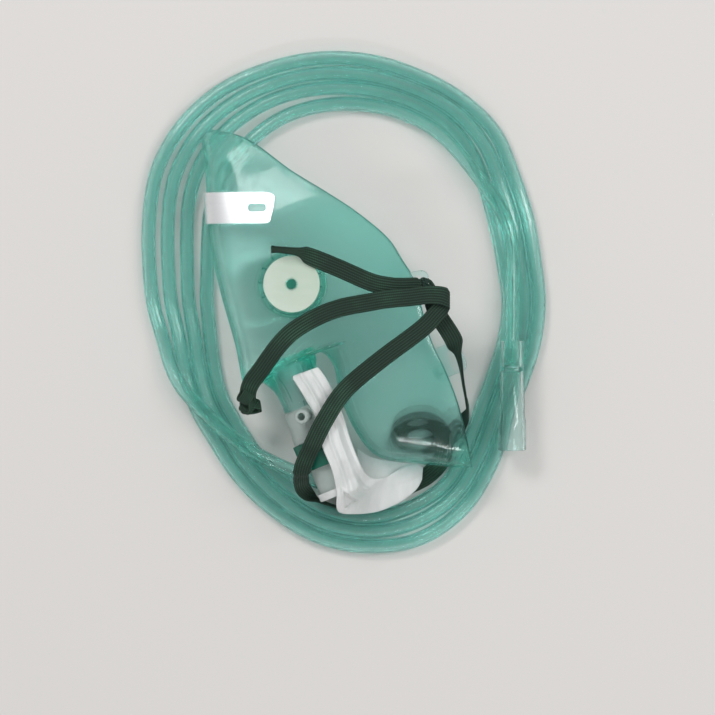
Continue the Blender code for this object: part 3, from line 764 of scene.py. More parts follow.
@dataclass
class SupplyTube:
    """The oxygen tube: one line from the source connector round the coil to the mask connector."""

    radius: float = 3.0
    wall: float = 1.0
    sides: int = 24
    spacing: float = 2.6
    clearance: float = 0.08
    lift: float = 0.02
    sinking: float = 0.06
    resting_rounds: int = 30
    neighbours: int = 6  # points along the line that don't push each other
    angle_step: float = 3.0
    blur: tuple[int, float] = (4, 2.0)  # reach and width, in angle steps
    rough_spacing: float = 5.0
    centre: tuple[float, float] = (2.1, 10.9)
    bounds: Rows = (  # outer and inner radius of the coil, every 12 degrees
        (84.7, 66.9), (84.6, 66.6), (87.0, 68.4), (90.5, 71.3), (96.2, 76.4), (97.9, 82.0), (98.8, 84.0),
        (101.5, 83.0), (103.6, 81.4), (104.5, 79.0), (104.8, 75.1), (102.9, 71.2), (98.6, 65.3),
        (91.5, 59.3), (85.5, 55.8), (81.6, 55.0), (78.5, 55.5), (79.2, 58.4), (80.4, 63.2), (81.6, 67.1),
        (86.4, 72.9), (92.3, 79.4), (99.1, 86.2), (103.9, 89.6), (106.1, 88.4), (102.6, 84.9),
        (94.9, 76.4), (87.2, 70.0), (84.7, 67.3), (84.6, 66.9),
    )
    lead: Rows = (  # out of the source connector and along the top of the turns
        (72.7, -15.6, 12.1), (72.7, -11.0, 12.1), (72.7, -6.0, 12.1), (72.7, 2.0, 11.9), (72.8, 10.0, 11.2),
        (73.2, 18.0, 10.4), (73.6, 26.0, 9.8), (74.0, 34.0, 9.6), (74.0, 41.0, 9.6), (73.3, 47.4, 9.6),
    )
    turns: Rows = (  # angle along the coil, share of its width from the inside, height
        (36, 0.30, 9.4), (48, 0.10, 9.4), (60, 0.0, 8.6), (72, 0.0, 6.0), (88, 0.0, 3.0), (200, 0.0, 3.0),
        (250, 0.0, 3.0), (345, 0.0, 3.0), (387, 0.0, 3.0), (402, 0.18, 3.0), (420, 0.33, 3.0),
        (448, 0.36, 5.0), (470, 0.42, 3.0), (490, 0.42, 3.0), (525, 0.34, 3.0), (560, 0.33, 3.0),
        (575, 0.36, 3.0), (610, 0.5, 7.4), (645, 0.5, 7.2), (668, 0.5, 3.0), (747, 0.5, 3.0),
        (762, 0.55, 3.0), (780, 0.66, 7.0), (800, 0.7, 6.0), (826, 0.72, 3.0), (850, 0.72, 3.0),
        (885, 0.67, 3.0), (920, 0.67, 3.0), (940, 0.78, 3.0), (970, 1.0, 3.0), (1060, 1.0, 3.0),
        (1276, 1.0, 3.0), (1284, 0.94, 6.0), (1292, 0.74, 9.4), (1306, 0.38, 9.8), (1316, 0.10, 9.6),
        (1326, -0.55, 7.0),
    )
    tail: Rows = (  # under the bag and into the mask connector
        (-18.2, -60.0, 4.2), (-13.4, -63.2, 3.7), (-8.7, -66.3, 3.3), (-4.8, -68.1, 3.3), (-1.2, -69.1, 3.4),
        (2.6, -69.4, 3.7), (6.4, -69.1, 4.1), (9.0, -68.5, 4.3), (11.3, -67.6, 4.4), (16.2, -65.5, 4.4),
    )
    free: tuple[float, float, float] = (110.0, 100.0, 4.0)  # first and last free stretch, straight end
    fades: tuple[float, float] = (30.0, 10.0)  # lengths over which the easing fades into the coil and the ends

    def coil_points(self) -> np.ndarray:
        """Points of the turns on the table, before they settle.

        Returns:
            The points, in millimetres.
        """
        rows = curve_through(self.bounds, 4, closed=True)
        around = np.arange(len(rows)) * self.angle_step
        plan = np.array(self.turns, float)
        angles = np.arange(plan[0, 0], plan[-1, 0] + 0.1, self.angle_step)
        outer, inner = (np.interp(angles, around, rows[:, k], period=360) for k in (0, 1))
        share, height = (np.interp(angles, plan[:, 0], plan[:, k]) for k in (1, 2))
        wide, sigma = self.blur
        kernel = np.exp(-0.5 * (np.arange(-wide, wide + 1) / sigma) ** 2)
        kernel /= kernel.sum()
        share, height = (np.convolve(np.pad(v, wide, mode="edge"), kernel, mode="valid")
                         for v in (share, height))
        reach = inner + self.radius + share * (outer - inner - 2 * self.radius)
        turn = np.radians(angles)
        x, y = self.centre
        return np.column_stack([x + reach * np.cos(turn), y + reach * np.sin(turn), height])

    def settled(self, line: np.ndarray, rounds: int = 170) -> np.ndarray:
        """The line with its turns lying beside and on each other.

        Args:
            line: evenly spaced points on the table.
            rounds: steps of pushing apart, weight and evening out.

        Returns:
            The line at rest.
        """
        away, start, count = 2 * self.radius + self.clearance, line.copy(), len(line)
        index = np.arange(count)
        apart = np.abs(index[:, None] - index[None, :]) > self.neighbours
        for step in range(rounds):
            between = line[:, None] - line[None, :]
            gap = np.linalg.norm(between, axis=2)
            near = apart & (gap < away)
            push = np.where(near, (away - gap) / 2 / np.maximum(gap, 1e-6), 0.0)
            line = line + (between * push[..., None]).sum(axis=1) / np.maximum(near.sum(axis=1), 1)[:, None]
            line[:, 2] -= self.sinking if step < rounds - self.resting_rounds else 0.0
            drift = line - start
            drift[1:-1] = 0.5 * drift[1:-1] + 0.25 * (drift[:-2] + drift[2:])
            drift[:3] = drift[-3:] = 0.0
            line = start + drift
            line[:, 2] = np.maximum(line[:, 2], self.radius + self.lift)
        return line

    def eased(self, line: np.ndarray, rounds: int = 9) -> np.ndarray:
        """Opens out the bends of the two free stretches, and keeps the very ends.

        Args:
            line: the line, which is changed.
            rounds: steps of evening out.

        Returns:
            The line.
        """
        run = run_of(line)[1:-1]
        first, last, kept = self.free
        inner, outer = self.fades
        back = run_of(line)[-1] - run
        share = np.maximum(np.clip((first - run) / inner, 0, 1), np.clip((last - back) / inner, 0, 1))
        share *= np.clip((np.minimum(run, back) - kept) / outer, 0, 1)
        for _ in range(rounds):
            line[1:-1] += share[:, None] * (0.25 * (line[:-2] + line[2:]) - 0.5 * line[1:-1])
        line[:, 2] = np.maximum(line[:, 2], self.radius + self.lift)
        return line

    def route(self) -> np.ndarray:
        """The tube's own line on the table.

        Returns:
            Its points, in millimetres.
        """
        rough = np.concatenate([np.array(self.lead), self.coil_points(), np.array(self.tail)])
        rough = evenly(curve_through(rough, 3), self.rough_spacing)
        return evenly(curve_through(self.eased(self.settled(rough)), 3), self.spacing)

    def build(self, ends: Sequence[bpy.types.Object]) -> bpy.types.Object:
        """Args:
            ends: the connectors on it; not used.

        Returns:
            The piece.
        """
        line = place(self.route())
        rings = tube_rings(line, self.radius * MM, self.sides)
        around = np.broadcast_to(np.arange(self.sides) / self.sides, rings.shape[:2])
        tube = finished("oxygen_tube", swept(rings, False, {"around": around}), Finish.TUBE)
        wall = tube.modifiers.new("Wall", "SOLIDIFY")
        wall.thickness, wall.offset, wall.use_rim = self.wall * MM, -1.0, True
        stands_for(tube, "oxygen_tube_coil", "oxygen_tube_start", "oxygen_tube_tail")
        return tube


# The face piece


@dataclass
class FacePiece:
    """The soft mask with its rolled rim, valve seats, strap tabs and gas socket."""

    sections: Rows = (  # rim x, rim y, ridge x, ridge y, half height, middle height, squareness
        (-53.6, 82.3, -57.2, 79.2, 4.8, 12.4, 2.4), (-38.2, 78.1, -55.4, 68.5, 8.6, 16.0, 2.6),
        (-20.2, 65.1, -54.6, 51.7, 12.5, 17.3, 2.6), (-5.5, 55.9, -52.9, 32.8, 16.0, 18.8, 2.6),
        (7.1, 47.5, -48.7, 13.9, 17.5, 19.3, 2.6), (19.7, 37.0, -42.8, -7.1, 17.5, 19.3, 2.6),
        (26.0, 27.7, -38.6, -25.4, 17.5, 19.3, 2.8), (31.1, 19.3, -31.5, -23.3, 17.5, 19.3, 3.4),
        (33.6, 9.7, -20.2, -16.0, 17.5, 19.3, 3.8), (36.1, 0.0, -8.4, -10.1, 17.5, 19.3, 3.4),
        (39.5, -9.2, -2.1, -15.5, 17.5, 19.3, 2.8), (43.3, -16.8, 0.8, -28.1, 17.0, 19.3, 2.6),
        (47.9, -28.1, 7.1, -42.8, 15.0, 19.3, 2.6), (50.8, -37.8, 16.8, -53.8, 12.0, 18.3, 2.6),
        (53.3, -48.3, 34.4, -56.9, 9.5, 16.8, 2.6), (55.4, -58.0, 52.1, -58.4, 7.5, 14.4, 2.6),
    )
    steps: int = 7
    arc: int = 84
    wall: float = 1.4
    rim_wall: float = 2.3
    rim_points: int = 6
    bead: float = 0.8  # how far the rim's edge is rolled out, as a share of half the wall
    seat_centre: tuple[float, float] = (-18.9, 18.1)
    seat: Rows = (  # distance out of the cheek, radius
        (-3.2, 0.0), (-3.2, 13.7), (-2.9, 14.0), (0.7, 14.0), (1.3, 13.7), (1.5, 13.3), (1.4, 12.8),
        (0.9, 12.5), (0.9, 1.7), (1.9, 1.7), (2.1, 2.5), (2.25, 2.6), (2.55, 2.3), (2.7, 1.8), (2.7, 0.0),
    )
    vents: tuple[int, float, float, float] = (6, 2.6, 7.0, 0.2)  # count, radius, circle, lead
    vent_ends: tuple[float, float] = (-6.0, 3.0)
    socket: Rows = (  # distance out of the port, radius
        (-4.5, 0.0), (-4.5, 12.8), (-1.5, 12.7), (1.0, 12.3), (3.0, 11.3), (5.0, 10.2), (7.0, 9.35),
        (9.0, 8.9), (12.0, 8.6), (14.6, 8.45), (15.0, 8.7), (16.6, 8.7), (17.0, 8.3), (17.0, 0.0),
    )
    bore: tuple[float, float, float] = (-9.0, 20.0, 7.2)  # from, to, radius
    tabs: Rows = (  # centre, length, width, heading, offset of the slot
        (33.9, 17.0, 35.8, 13.0, 8.6, 100.0, 0.0), (46.0, -13.6, 3.0, 13.0, 14.0, 112.0, 2.5),
    )
    tab_thick: float = 1.8
    tab_rounding: tuple[float, float] = (3.0, 0.45)  # of its corners and its edges
    slot: tuple[float, float] = (9.4, 3.2)
    slot_corner: float = 1.4

    def walls(self) -> np.ndarray:
        """Both sides of the wall.

        Returns:
            Outer and inner points, a row a section from the near rim to the far one.
        """
        rows = curve_through(self.sections, self.steps)
        run = np.gradient(rows[:, 2:4], axis=0)
        inward = unit(np.column_stack([-run[:, 1], run[:, 0]]))
        turn = math.pi * (np.arange(self.arc + 1) / self.arc - 0.5)
        both = np.empty((2, len(rows), self.arc + 1, 3))
        for i, (rx, ry, px, py, half, middle, power) in enumerate(rows):
            depth = np.abs(np.cos(turn)) ** (2 / power)
            rise = -np.copysign(np.abs(np.sin(turn)) ** (2 / power), turn)
            wall = self.wall + (self.rim_wall - self.wall) * (1 - depth) ** 4
            for grid, off in zip(both, (0.0, wall)):
                x, y = px + inward[i, 0] * off, py + inward[i, 1] * off
                heights = middle + (half - off) * rise
                grid[i] = np.column_stack([rx + (x - rx) * depth, ry + (y - ry) * depth, heights])
        return both

    def rings(self) -> np.ndarray:
        """Sections of the wall, with a rolled edge at both rims.

        Returns:
            The sections, in the frame.
        """
        outer, inner = self.walls()
        beads = []
        for column in (-1, 0):
            first, second = (outer, inner) if column else (inner, outer)
            start, end = first[:, column], second[:, column]
            middle, half = (start + end) / 2, (start - end) / 2
            away = unit(outer[:, column] - outer[:, self.arc // 2]) * (1.0, 1.0, 0.0)
            reach = np.linalg.norm(half, axis=1, keepdims=True) * self.bead
            turns = math.pi * np.arange(1, self.rim_points) / self.rim_points
            points = [middle + half * math.cos(t) + away * reach * math.sin(t) for t in turns]
            beads.append(np.stack(points, axis=1))
        return place(np.concatenate([outer, beads[0], inner[:, ::-1], beads[1]], axis=1))

    def seats(self, shell: bpy.types.Object) -> Feet:
        """Finds where the two valve seats stand.

        Args:
            shell: the face piece.

        Returns:
            Foot and outward direction of the seat on the near and on the far cheek.
        """
        surface = Surface([shell])
        x, y, _ = place((*self.seat_centre, 0.0))
        found = []
        for side in (1, -1):
            spot, normal = surface.cast((x, y, side * RAY_START), (0, 0, -side))
            found.append((Vector(np.array(spot) / MM - TO_MIDDLE), normal))
        return found

    def added(self, feet: Feet) -> bmesh.types.BMesh:
        """Seats, socket and tabs.

        Args:
            feet: foot and direction of the seats.

        Returns:
            One mesh of them.
        """
        parts = [spun(self.seat, foot, out, False) for foot, out in feet]
        parts.append(spun(self.socket, PORT, PORT_AXIS, False))
        for x, y, z, length, width, heading, _ in self.tabs:
            parts.append(rounded_block((x, y, z), (length, width, self.tab_thick), heading, *self.tab_rounding))
        return joined(parts)

    def removed(self, feet: Feet) -> bmesh.types.BMesh:
        """Vents, bore and slots.

        Args:
            feet: foot and direction of the seats.

        Returns:
            One mesh of them.
        """
        count, radius, circle, lead = self.vents
        parts = [rod(self.vent_ends, radius, spot, out, 32)
                 for foot, out in feet for spot in ring_of(foot, out, count, circle, lead)]
        *ends, radius = self.bore
        parts.append(rod(ends, radius, PORT, PORT_AXIS))
        for x, y, z, _, _, heading, off in self.tabs:
            size = (*self.slot, 3 * self.tab_thick)
            parts.append(rounded_block((x + off, y, z), size, heading, self.slot_corner))
        return joined(parts)

    def build(self) -> tuple[bpy.types.Object, Feet]:
        """Makes the face piece.

        Returns:
            The piece, and the foot and direction of its two seats.
        """
        rings = self.rings()
        edge = np.zeros(rings.shape[:2])
        # the rim's points are marked for the finish's painted shade on the rim edge
        edge[:, self.arc + 1:self.arc + self.rim_points] = edge[:, 1 - self.rim_points:] = 1.0
        shell = finished("face_piece", swept(rings, marks={"edge": edge}), Finish.FACE_PIECE)
        feet = self.seats(shell)
        combined(shell, self.added(feet), "UNION")
        combined(shell, self.removed(feet), "DIFFERENCE")
        smoothed(shell.data, 38.0)
        return stands_for(shell, "mask_shell"), feet


@dataclass
class ExhaleFlaps:
    """The frosted silicone discs over the vents, one on each cheek."""

    outline: Rows = (
        (1.2, 2.1), (1.78, 2.1), (1.74, 4.5), (1.66, 8.0), (1.66, 10.6), (1.84, 11.2), (1.8, 11.65),
        (1.5, 11.8), (1.2, 11.7),
    )

    def build(self, feet: Feet) -> None:
        """Makes both flaps on their seats.

        Args:
            feet: foot and direction of the seats.
        """
        for label, (foot, out) in zip(("near", "far"), feet):
            flap = finished(f"exhale_flap_{label}", spun(self.outline, foot, out), Finish.FLAP)
            stands_for(flap, f"exhale_valve_{label}")


@dataclass
class NoseClip:
    """Aluminium strip bent over the bridge."""

    ends: tuple[float, float] = (43.2, 56.2)
    centre: tuple[float, float] = (-45.0, 17.6)
    reach: float = 40.0
    thick: float = 0.6
    lift: float = 0.55
    ray_length: float = 0.08  # metres from the centre that rays start at
    end_width: float = 0.72
    end_steps: tuple[float, ...] = (0.0, 0.25, 0.7, 1.4, 2.3, 3.4, 5.0)
    skew: float = 9.0
    skew_share: float = 1.3  # of the skew, at the far edge
    plain: int = 64
    rows: int = 10
    slot: tuple[float, float, float, float] = (-37.2, -29.6, 48.0, 51.4)
    slot_cut: tuple[float, float, float] = (18.0, 60.0, 1.5)  # middle height, height, corner

    def build(self, shell: bpy.types.Object) -> None:
        """Bends the strip over the face piece's own surface.

        Args:
            shell: the face piece.
        """
        surface = Surface([shell])
        first = self.reach + self.end_steps[-1]
        angles = [self.reach + step for step in self.end_steps[:-1]]
        angles += [first + (360 - 2 * first) * k / self.plain for k in range(self.plain + 1)]
        angles += [360 - self.reach - step for step in self.end_steps[-2::-1]]
        middle, half = sum(self.ends) / 2, (self.ends[1] - self.ends[0]) / 2
        rings = []
        for angle in angles:
            fade = min(1.0, abs(180.0 - angle) / (180.0 - self.reach)) ** 4
            slant = math.copysign(self.skew * fade, 180.0 - angle)
            near_end = min(1.0, min(angle - self.reach, 360 - self.reach - angle) / self.end_steps[-1])
            shrink = self.end_width + (1 - self.end_width) * math.sqrt(1 - (1 - near_end) ** 2)
            across = [middle + half * shrink * (2 * i / self.rows - 1) for i in range(self.rows + 1)]
            ways = [math.radians(angle + slant * (0.5 - i / 2 / self.rows * self.skew_share))
                    for i in range(self.rows + 1)]
            out = np.array([(math.cos(way), 0.0, math.sin(way)) for way in ways])
            middles = [place((self.centre[0], y, self.centre[1])) for y in across]
            spots = [spot + way * self.ray_length for spot, way in zip(middles, out)]
            hits = np.array([surface.cast(spot, -way)[0] for spot, way in zip(spots, out)])
            low, high = hits + out * self.lift * MM, hits + out * (self.lift + self.thick) * MM
            rings.append(np.concatenate([low, high[::-1]]))
        clip = finished("nose_clip_strip", swept(np.array(rings)), Finish.METAL, 30.0)
        x0, x1, y0, y1 = self.slot
        level, tall, corner = self.slot_cut
        hole = rounded_block(((x0 + x1) / 2, (y0 + y1) / 2, level), (x1 - x0, y1 - y0, tall), 0.0, corner)
        combined(clip, hole, "DIFFERENCE")
        smoothed(clip.data, 30.0)
        stands_for(softened(clip, 0.12), "nose_clip")


@dataclass
class ValveGroup:
    """Housing under the nose with its nipple, the collar round it and the non-return flap."""

    housing: Rows = (  # distance along the port's axis, radius
        (-1.0, 6.9), (17.3, 6.9), (17.3, 8.6), (18.2, 9.2), (24.0, 9.4), (30.2, 10.2), (31.0, 10.2),
        (31.0, 8.4), (44.0, 8.4), (56.0, 8.0), (56.0, 6.6), (30.6, 6.6), (30.6, 0.9), (29.4, 0.9),
        (29.4, 8.0), (20.0, 8.0), (17.5, 5.8), (-1.0, 5.8),
    )
    collar: Rows = (
        (31.3, 11.1), (35.2, 11.1), (35.5, 10.8), (36.1, 10.8), (36.4, 11.1), (43.0, 11.1), (43.0, 8.7),
        (31.3, 8.7),
    )
    flap: Rows = ((28.2, 0.5), (28.2, 7.6), (28.9, 7.6), (29.0, 6.8), (29.0, 0.5))
    nipple_at: float = 20.6
    lean: float = 8.0
    nipple: Rows = (
        (8.4, 0.0), (8.4, 3.5), (9.4, 3.0), (16.6, 2.75), (17.6, 3.1), (19.0, 2.8), (19.4, 2.4), (19.4, 0.0),
    )
    bore: tuple[float, float, float] = (4.0, 21.4, 1.6)  # from, to, radius
    web_holes: tuple[int, float, float, float] = (4, 1.9, 4.1, 6.4)  # count, radius, circle, past the nipple
    web_ends: tuple[float, float] = (0.0, 6.0)

    def build(self) -> None:
        """Makes the three mouldings."""
        housing = finished("gas_housing", spun(self.housing, PORT, PORT_AXIS), Finish.HOUSING)
        axis = Vector(PORT_AXIS).normalized()
        foot = Vector(PORT) + axis * self.nipple_at
        lean = Matrix.Rotation(math.radians(self.lean), 3, axis) @ Vector((0, 0, 1))
        combined(housing, spun(self.nipple, foot, lean, False, 48), "UNION")
        *ends, radius = self.bore
        cuts = [rod(ends, radius, foot, lean, 32)]
        count, radius, circle, web = self.web_holes
        spots = ring_of(foot + axis * web, axis, count, circle)
        cuts += [rod(self.web_ends, radius, spot, axis, 24) for spot in spots]
        combined(housing, joined(cuts), "DIFFERENCE")
        smoothed(housing.data, 35.0)
        stands_for(softened(housing, 0.25), "valve_housing")
        collar = finished("dark_collar", spun(self.collar, PORT, PORT_AXIS), Finish.COLLAR, 30.0)
        stands_for(softened(collar, 0.3, 3), "housing_collar")
        flap = finished("non_return_flap", spun(self.flap, PORT, PORT_AXIS), Finish.FLAP)
        stands_for(flap, "inlet_valve")


@dataclass
class Connector:
    """Soft end moulding of the tube."""

    name: str
    node: str
    start: tuple[float, float, float]
    end: tuple[float, float, float]
    outline: Rows

    def build(self) -> bpy.types.Object:
        """Makes the connector in the place of its node.

        Returns:
            The piece.
        """
        axis = Vector(self.end) - Vector(self.start)
        made = finished(self.name, spun(self.outline, self.start, axis), Finish.CONNECTOR, 30.0)
        return stands_for(softened(made, 0.22), self.node)


SOURCE_CONNECTOR = Connector(
    "outlet_connector", "source_connector", (72.7, -5.4, 12.1), (72.7, -51.2, 12.1),
    ((0.0, 4.6), (0.0, 5.2), (2.4, 5.2), (2.9, 4.9), (14.0, 5.05), (32.0, 5.4), (33.2, 5.8), (44.9, 5.9),
     (45.6, 5.7), (45.8, 5.2), (45.8, 4.6), (34.0, 4.2), (24.0, 3.9), (13.0, 3.7), (12.0, 2.2), (11.0, 2.2),
     (11.0, 3.3), (0.0, 3.4)))
MASK_CONNECTOR = Connector(
    "nipple_connector", "mask_connector", (11.3, -67.6, 4.4), (29.2, -59.9, 4.4),
    ((0.0, 3.4), (0.0, 4.2), (19.4, 4.2), (19.4, 3.0), (8.0, 2.9), (7.0, 1.6), (6.4, 1.6), (6.4, 3.4)))


# The film bag


@dataclass
class FilmBag:
    """Folded reservoir bag: pleated strip over the housing, its turn, and the panel under the chin."""

    rows: Rows = (  # left edge, right edge, thickness, depth of the pleats
        (-17.4, -19.6, 31.0, -8.8, -16.5, 30.2, 2.2, 0.5), (-18.6, -21.0, 31.0, -7.4, -17.2, 30.2, 2.6, 1.0),
        (-14.2, -28.2, 31.2, -2.6, -24.8, 29.4, 3.0, 1.0),
        (-9.2, -37.2, 31.2, 2.2, -36.4, 28.2, 3.2, 1.0), (-6.7, -48.6, 32.0, 5.4, -46.4, 28.4, 2.8, 1.0),
        (-2.6, -58.6, 31.6, 8.8, -55.2, 26.8, 2.6, 1.0), (-0.6, -67.6, 28.8, 11.8, -60.8, 19.8, 2.8, 0.9),
        (0.0, -76.0, 24.0, 15.4, -62.6, 17.0, 3.0, 0.35), (6.6, -77.6, 14.0, 19.6, -62.4, 11.2, 2.2, 0.1),
        (16.4, -76.8, 10.4, 24.0, -59.8, 10.0, 1.2, 0.0), (25.2, -73.2, 9.6, 28.6, -57.4, 9.6, 1.2, 0.0),
        (32.4, -68.0, 8.2, 32.8, -57.0, 8.2, 1.2, 0.0), (35.2, -63.6, 5.6, 35.6, -58.4, 6.0, 1.2, 0.0),
    )
    steps: int = 12
    facets: int = 72
    pleats: int = 3
    film: float = 0.7
    clearance: float = 0.65
    margin: float = 1.6
    pleat_depth: float = 0.24  # share of the thickness
    edge_drop: float = 0.45  # share of the thickness that the edges are rounded by
    edge_power: int = 8  # how late that rounding starts
    crumple: tuple[float, float] = (0.8, 0.6)  # share of the unevenness, and what the pleats take off it
    limits: tuple[float, float] = (0.8, 0.5)  # highest rise of the film, and least thickness
    well: tuple[float, float] = (2.3, 0.8)  # depth of the mouth and height of its rim
    well_slopes: tuple[float, float] = (1.4, 0.6)  # widths of its slope and of its rim
    web_columns: int = 33
    web_gaps: tuple[float, float] = (1.2, 1.05)  # reach of what it rests on, and height over it
    web_ripple: float = 0.2
    web: Rows = (  # upper edge, lower edge and height of the under layer along the chin
        (8.2, -50.4, 8.2, -60.0, 10.8), (12.2, -53.2, 11.6, -64.6, 10.6), (17.4, -54.9, 17.2, -66.0, 10.0),
        (24.0, -56.0, 23.8, -66.0, 9.4), (30.0, -56.8, 29.8, -64.4, 8.8), (34.4, -57.8, 34.2, -61.0, 7.4),
    )
    mouth: Rows = ((2.1, -67.4), (8.6, -71.8), (2.4, -76.0))
    sleeve: Rows = ((53.6, 9.2), (56.2, 9.2), (56.7, 8.95), (56.2, 8.7), (53.6, 8.7))

    def dent(self, x: float, y: float) -> float:
        """How far the film sinks in the three-cornered mouth at the turn.

        Args:
            x: place on the table.
            y: place on the table.

        Returns:
            The depth, below zero on the rim.
        """
        corners = [np.array(corner) for corner in self.mouth]
        sides = [(a, b - a) for a, b in zip(corners, corners[1:] + corners[:1])]
        inside = min(float(way[1] * (x - a[0]) - way[0] * (y - a[1])) / float(np.linalg.norm(way))
                     for a, way in sides)
        slope, rim_slope = self.well_slopes
        share = min(max(inside / slope, 0.0), 1.0)
        depth, rim = self.well
        return depth * share * share * (3 - 2 * share) - rim * math.exp(-((inside / rim_slope) ** 2))

    def wrinkle(self, along: float, v: float) -> float:
        """Soft unevenness of the film, in millimetres."""
        return (0.30 * math.sin(along * 0.21 + 2.5 * v) * math.sin(3.0 * v + along * 0.06)
                + 0.10 * math.sin(along * 0.45 - 5.0 * v))

    def bridged(self, heights: np.ndarray) -> np.ndarray:
        """Draws the film straight over the steps below it.

        Args:
            heights: a row a section.

        Returns:
            The heights, never lower than they were.
        """
        reach = self.steps // 2
        padded = np.pad(heights, ((reach, reach), (0, 0)), mode="edge")
        highest = np.max([padded[k:k + len(heights)] for k in range(2 * reach + 1)], axis=0)
        padded = np.pad(highest, ((reach, reach), (0, 0)), mode="edge")
        return np.mean([padded[k:k + len(heights)] for k in range(2 * reach + 1)], axis=0)

    def under_layer(self) -> bmesh.types.BMesh:
        """The film's lower layer, seen between the strip and the chin.

        Returns:
            The mesh.
        """
        below = Surface([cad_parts["mask_connector"]])
        reach, lift = self.web_gaps
        rings = []
        for i, (ux, uy, lx, ly, high) in enumerate(curve_through(self.web, self.steps)):
            upper = []
            for v in np.linspace(0.0, 1.0, self.web_columns):
                x, y, _ = place((ux + (lx - ux) * v, uy + (ly - uy) * v, 0.0))
                rest = below.height_near(x, y, reach * MM) / MM + lift
                top = max(high + self.web_ripple * math.sin(0.2 * i + 4.0 * v), rest)
                upper.append((ux + (lx - ux) * v, uy + (ly - uy) * v, top))
            rings.append(upper + [(x, y, z - self.film) for x, y, z in upper[::-1]])
        return swept(place(np.array(rings)))

    def build(self) -> None:
        """Lays the film over what is below it."""
        names = ("mask_connector", "valve_housing", "housing_collar", "mask_shell")
        below, beside = (Surface([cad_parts[name] for name in names[:count]]) for count in (4, 2))
        rows = curve_through(self.rows, self.steps)
        run = run_of((rows[:, :3] + rows[:, 3:6]) / 2)
        share = np.linspace(0.0, 1.0, self.facets + 1)
        spots = rows[:, None, 0:3] + (rows[:, None, 3:6] - rows[:, None, 0:3]) * share[None, :, None]
        for row, line in zip(rows, spots):
            under = below if row[7] > 0.5 else beside
            for spot in line:
                x, y, _ = place(spot)
                spot[2] = max(spot[2], under.height_near(x, y, self.margin * MM) / MM + self.clearance + row[6])
        spots[:, :, 2] = self.bridged(spots[:, :, 2])
        uneven, evened = self.crumple
        highest, thinnest = self.limits
        rings = []
        for row, line, along in zip(rows, spots, run):
            thick, fold = row[6], max(row[7], 0.0)
            upper, lower = [], []
            for v, spot in zip(share, line):
                round_off = 1.0 - math.sqrt(max(0.0, 1.0 - (2 * v - 1) ** self.edge_power))
                pleat = fold * self.pleat_depth * thick * (1 - abs(math.cos(math.pi * self.pleats * v)) ** 5)
                sink = pleat + self.dent(spot[0], spot[1])
                sink += (1 - evened * fold) * self.wrinkle(along, v) * uneven
                sink = min(max(sink, -highest), thick - thinnest) + round_off * thick * self.edge_drop
                upper.append(spot - (0, 0, sink))
                lower.append(spot - (0, 0, thick - round_off * thick * self.edge_drop))
            rings.append(upper + lower[::-1])
        sleeve = spun(self.sleeve, PORT, PORT_AXIS)
        parts = [swept(place(np.array(rings))), self.under_layer(), sleeve]
        bag = finished("film_bag", joined(parts), Finish.FILM, 55.0)
        stands_for(bag, "reservoir_bag")


# The elastic


